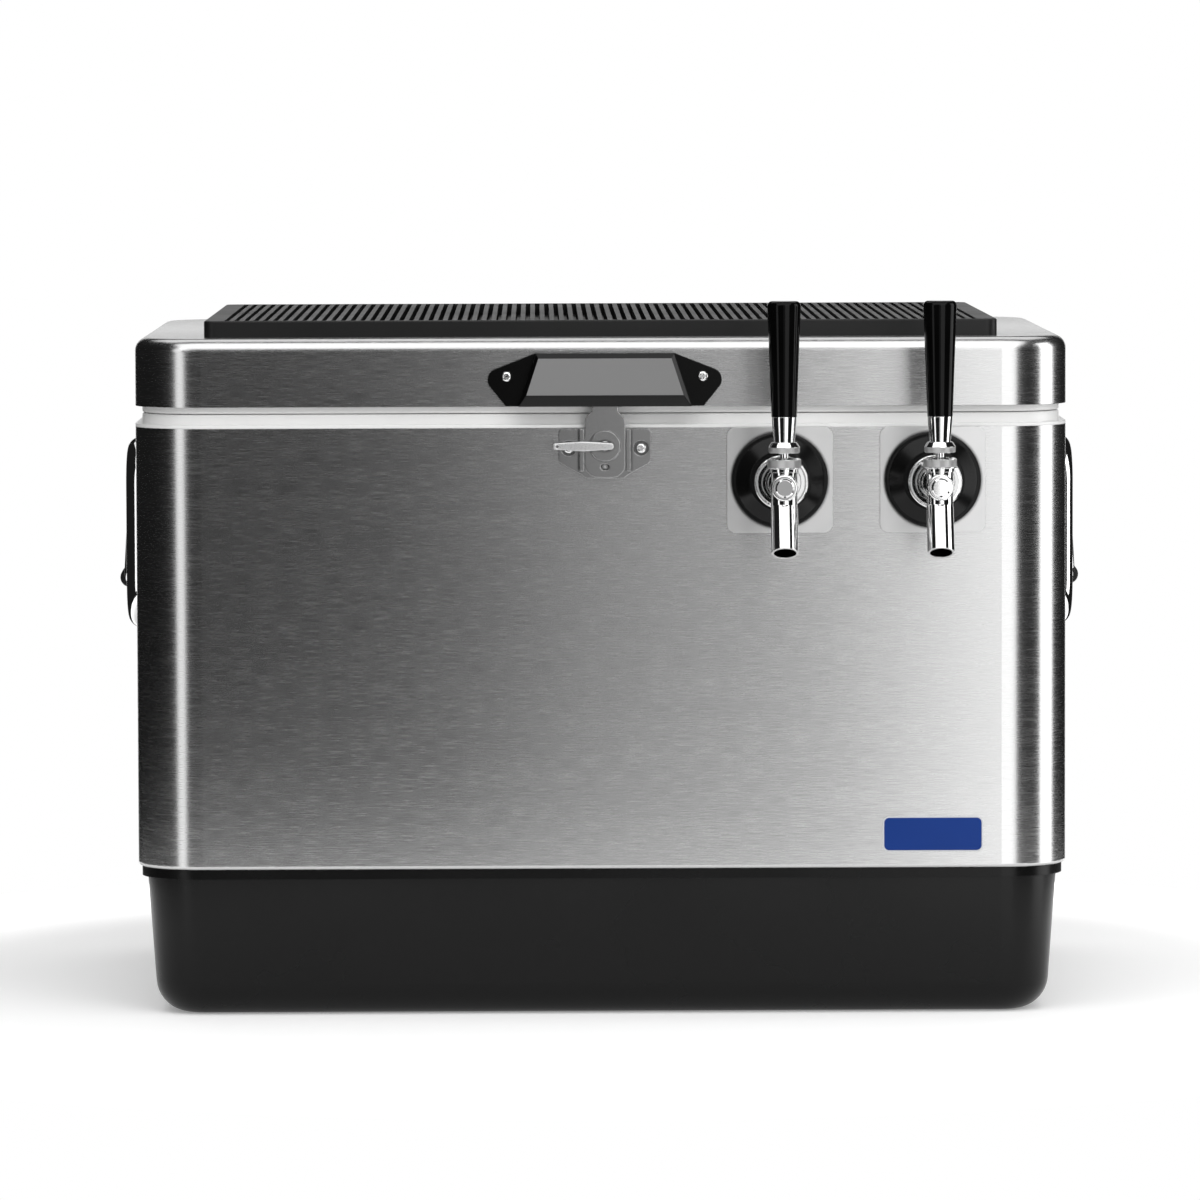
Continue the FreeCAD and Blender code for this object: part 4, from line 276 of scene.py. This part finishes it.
def latch_cover_plastic():
    """Black moulding whose front face is finished in satin grey."""
    made = moulded("latch_cover", (0.002, 0.002, 0.002), 0.18, 0.00001)
    y = made.axes()[1]
    face = made.span(y, COVER_FACE + 0.00012, COVER_FACE + 0.00004, 0.0, 1.0)
    base = made.surface.inputs["Base Color"].links[0].from_socket
    made.use(Base_Color=made.blend(face, base, grey(0.2)))
    made.use(Roughness=made.span(face, 0.0, 1.0, 0.16, 0.42))
    return made.material


def gloss_black():
    made = Shader("gloss_black", Specular_IOR_Level=0.12)
    wave = made.noise((40, 40, 40), 2.0)
    made.use(
        Base_Color=made.blend(wave, grey(0.001), grey(0.003)),
        Roughness=made.span(wave, 0.3, 0.7, 0.06, 0.1),
        Normal=made.bump(wave, 0.00003, 0.3, made.soft_edges(0.0005)),
    )
    return made.material


def tray_plastic():
    """Satin black of the ribbed tray."""
    return moulded("drip_tray", (0.008, 0.008, 0.008), 0.42, 0.00002, 1200, 0.0004, 0.3).material


def foam():
    made = Shader("foam", Roughness=0.85)
    cells = made.noise((420, 420, 420), 4.0)
    made.use(
        Base_Color=made.blend(cells, (0.62, 0.5, 0.26, 1), (0.82, 0.7, 0.42, 1)),
        Normal=made.bump(cells, 0.0004, 0.6),
    )
    return made.material


def brass():
    made = Shader("brass", Metallic=1.0)
    turning = made.noise((300, 300, 300), 2.0)
    made.use(
        Base_Color=made.blend(turning, (0.62, 0.44, 0.2, 1), (0.75, 0.56, 0.28, 1)),
        Roughness=made.span(turning, 0.3, 0.7, 0.18, 0.32),
        Normal=made.bump(turning, 0.00004, 0.4, made.soft_edges(0.0005)),
    )
    return made.material


def finish_nodes():
    """Gives every CAD node its material."""
    steel = brushed_steel()
    pressed = satin_steel("pressed_steel", 0.46, 0.13, 0.0009)
    lever = satin_steel("latch_lever", 0.95, 0.3, 0.0012)
    plate = satin_steel("wall_plate", 0.68, 0.34)
    tube = satin_steel("stainless_tube", 0.64, 0.2)
    bright = chrome()
    black = moulded("satin_black", (0.003, 0.003, 0.003), 0.26, 0.00002).material
    flange = moulded("flange_black", (0.003, 0.003, 0.003), 0.22, 0.00001).material
    grip = moulded("grip_black", (0.01, 0.01, 0.01), 0.5, 0.00008, 900).material
    white = moulded("white_plastic", (0.78, 0.78, 0.775), 0.32, 0.00002, 900, 0.0008, 0.5, 0.02).material
    rubber = moulded("seal_rubber", (0.02, 0.02, 0.02), 0.6).material
    filling = foam()
    nut = brass()
    chosen = {
        "body_jacket": steel, "lid_shell": steel,
        "catch_plate": pressed, "hasp": pressed, "hasp_bracket": pressed, "hasp_pin": pressed,
        "hinge_leaves_body": pressed, "hinge_leaves_lid": pressed, "hinge_pins": pressed,
        "latch_lever": lever, "case_screws": bright, "lid_screws": bright,
        "bulkhead_nuts": nut, "coil_unions": nut, "coil_frames": white,
        "base_tub": black, "inlet_flanges": flange, "drain_plug": black,
        "drip_tray": tray_plastic(), "latch_cover": latch_cover_plastic(),
        "liner": white, "lid_liner": white, "drain_spigot": white,
        "body_insulation": filling, "lid_insulation": filling, "lid_gasket": rubber,
    }
    for side in ("left", "right"):
        chosen[f"faucet_plate_{side}"] = plate
        chosen[f"shank_flange_{side}"] = flange
        chosen[f"tap_handle_{side}"] = gloss_black()
        chosen[f"bonnet_{side}"] = knurled_chrome(side, "bonnet", BONNET_FOOT, BONNET_BAND)
        chosen[f"tap_lever_{side}"] = knurled_chrome(side, "lever", FERRULE_FOOT, LEVER_BAND)
        chosen[f"grip_{side}"] = grip
        for kind in ("shank", "inlet_shank", "coil"):
            chosen[f"{kind}_{side}"] = tube
        for kind in ("faucet_body", "coupling_nut", "front_plug", "ferrule", "faucet_shaft",
                     "handle_frame", "bail"):
            chosen[f"{kind}_{side}"] = bright
    for name, node in nodes.items():
        node.data.materials.clear()
        node.data.materials.append(chosen[name])


def plate_on_front(name, place, margin, depth, material):
    """A thin plate with rounded corners on the front of the case, wider by the margin all round."""
    across, up = place
    half_width = BADGE_WIDTH / 2 - BADGE_ROUND
    half_height = BADGE_HEIGHT / 2 - BADGE_ROUND
    corner = BADGE_ROUND + margin
    mesh = bpy.data.meshes.new(name)
    shape = bmesh.new()
    rim = []
    for turn, side_x, side_z in ((0, 1, 1), (90, -1, 1), (180, -1, -1), (270, 1, -1)):
        for step in range(ROUND_STEPS + 1):
            angle = math.radians(turn + 90 * step / ROUND_STEPS)
            rim.append(shape.verts.new((
                across + side_x * half_width + corner * math.cos(angle),
                FRONT_FACE,
                up + side_z * half_height + corner * math.sin(angle),
            )))
    back = shape.faces.new(rim)
    front = bmesh.ops.extrude_face_region(shape, geom=[back])["geom"]
    moved = [item for item in front if isinstance(item, bmesh.types.BMVert)]
    bmesh.ops.translate(shape, vec=(0, -depth, 0), verts=moved)
    bmesh.ops.recalc_face_normals(shape, faces=shape.faces)
    shape.to_mesh(mesh)
    shape.free()
    plate = bpy.data.objects.new(name, mesh)
    bpy.context.scene.collection.objects.link(plate)
    mesh.materials.append(material)
    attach(plate, "case")


def badge():
    """Bare blue plate with a pale rim at the lower right of the front."""
    place = (CASE_RIGHT - BADGE_FROM_SIDE, CASE_FOOT + BADGE_ABOVE_FOOT)
    rim = moulded("badge_rim", (0.62, 0.63, 0.65), 0.3, 0.00001, 900, 0.0002).material
    blue = moulded("badge_blue", (0.0, 0.03, 0.2), 0.3, 0.00001, 900, 0.0002).material
    plate_on_front("badge_rim", place, BADGE_RIM, RIM_THICKNESS, rim)
    plate_on_front("badge_face", place, 0.0, BADGE_THICKNESS, blue)


def studio():
    """Pale floor and white backdrop; the softboxes, placed to match the photograph's reflections, are added
    by lamps().
    """
    world = bpy.data.worlds.new("studio")
    bpy.context.scene.world = world
    world.use_nodes = True
    tree = world.node_tree
    background = tree.nodes["Background"]
    rays = tree.nodes.new("ShaderNodeLightPath")
    place = tree.nodes.new("ShaderNodeTexCoord")
    split = tree.nodes.new("ShaderNodeSeparateXYZ")
    tree.links.new(place.outputs["Generated"], split.inputs[0])

    def math_node(operation, first, second):
        node = tree.nodes.new("ShaderNodeMath")
        node.operation = operation
        for slot, value in zip(node.inputs, (first, second)):
            if isinstance(value, bpy.types.NodeSocket):
                tree.links.new(value, slot)
            else:
                slot.default_value = value
        return node.outputs[0]

    behind = math_node("GREATER_THAN", split.outputs[1], BEHIND)
    glossy = math_node("MULTIPLY", math_node("MAXIMUM", rays.outputs["Is Glossy Ray"],
                                             rays.outputs["Is Transmission Ray"]), behind)
    shown = math_node("MAXIMUM", rays.outputs["Is Camera Ray"], glossy)
    dim = math_node("ADD", math_node("MULTIPLY", rays.outputs["Is Diffuse Ray"], ROOM_FOR_DIFFUSE), ROOM)
    strength = math_node("MAXIMUM", shown, dim)
    background.inputs["Color"].default_value = grey(1.0)
    tree.links.new(strength, background.inputs["Strength"])
    floor()


def floor():
    """A pale disc that fades into the white backdrop towards its rim and keeps the shadow."""
    mesh = bpy.data.meshes.new("floor")
    disc = bmesh.new()
    bmesh.ops.create_circle(disc, cap_ends=True, segments=96, radius=FLOOR_RADIUS)
    disc.to_mesh(mesh)
    disc.free()
    ground = bpy.data.objects.new("floor", mesh)
    bpy.context.scene.collection.objects.link(ground)
    material = bpy.data.materials.new("floor")
    material.use_nodes = True
    tree = material.node_tree
    tree.nodes.clear()
    output = tree.nodes.new("ShaderNodeOutputMaterial")
    diffuse = tree.nodes.new("ShaderNodeBsdfDiffuse")
    diffuse.inputs["Color"].default_value = grey(FLOOR_GREY)
    glow = tree.nodes.new("ShaderNodeEmission")
    both = tree.nodes.new("ShaderNodeAddShader")
    rays = tree.nodes.new("ShaderNodeLightPath")
    place = tree.nodes.new("ShaderNodeTexCoord")
    reach = tree.nodes.new("ShaderNodeVectorMath")
    reach.operation = "LENGTH"
    fade = tree.nodes.new("ShaderNodeMapRange")
    fade.interpolation_type = "SMOOTHSTEP"
    for slot, value in zip(list(fade.inputs)[1:5], (GLOW_STARTS, GLOW_IS_FULL, NEAR_GLOW, 1.0)):
        slot.default_value = value
    share = tree.nodes.new("ShaderNodeMath")
    share.operation = "MULTIPLY"
    tree.links.new(place.outputs["Object"], reach.inputs[0])
    tree.links.new(reach.outputs["Value"], fade.inputs[0])
    mirrored = tree.nodes.new("ShaderNodeMath")
    mirrored.operation = "MAXIMUM"
    tree.links.new(rays.outputs["Is Glossy Ray"], mirrored.inputs[0])
    tree.links.new(rays.outputs["Is Transmission Ray"], mirrored.inputs[1])
    shown = tree.nodes.new("ShaderNodeMath")
    shown.operation = "MAXIMUM"
    tree.links.new(rays.outputs["Is Camera Ray"], shown.inputs[0])
    tree.links.new(mirrored.outputs[0], shown.inputs[1])
    tree.links.new(shown.outputs[0], share.inputs[0])
    tree.links.new(fade.outputs[0], share.inputs[1])
    tree.links.new(share.outputs[0], glow.inputs["Strength"])
    tree.links.new(diffuse.outputs[0], both.inputs[0])
    tree.links.new(glow.outputs[0], both.inputs[1])
    tree.links.new(both.outputs[0], output.inputs[0])
    mesh.materials.append(material)


def softbox(name, bearing, distance, height, width, tall, radiance):
    """An area light facing the cooler. Bearing is from the front, positive to the right."""
    light = bpy.data.lights.new(name, "AREA")
    light.shape = "RECTANGLE"
    light.size = width
    light.size_y = tall
    light.energy = radiance * math.pi * width * tall
    lamp = bpy.data.objects.new(name, light)
    bpy.context.scene.collection.objects.link(lamp)
    angle = math.radians(bearing)
    lamp.location = (distance * math.sin(angle), -distance * math.cos(angle), height)
    aim = Vector((0, 0, 0.25)) - lamp.location
    lamp.rotation_euler = aim.to_track_quat("-Z", "Y").to_euler()
    lamp.visible_camera = False


def lamps():
    softbox("key_right", 21.0, 1.7, 0.45, 0.72, 1.7, 1.85)
    softbox("front_fill", 4.0, 1.7, 0.45, 0.34, 1.7, 0.4)
    softbox("side_right", 82.0, 1.5, 0.45, 0.66, 1.6, 2.6)
    softbox("side_left", -41.0, 1.7, 0.45, 0.38, 1.7, 1.5)
    softbox("top_front", 0.0, 1.1, 1.7, 2.6, 1.7, 1.9)
    softbox("top_rear", 180.0, 0.8, 2.0, 2.4, 1.4, 1.2)


def camera():
    data = bpy.data.cameras.new("camera")
    data.lens = LENS
    data.sensor_width = 36.0
    data.clip_end = 100.0
    eye = bpy.data.objects.new("camera", data)
    bpy.context.scene.collection.objects.link(eye)
    eye.matrix_world = (
        Matrix.Translation(CAMERA_PLACE)
        @ Matrix.Rotation(math.radians(-CAMERA_YAW), 4, "Z")
        @ Matrix.Rotation(math.radians(90 - CAMERA_PITCH), 4, "X")
        @ Matrix.Rotation(math.radians(-CAMERA_ROLL), 4, "Z")
    )
    bpy.context.scene.camera = eye


finish_nodes()
badge()
studio()
lamps()
camera()
bpy.context.scene.view_settings.view_transform = "Standard"
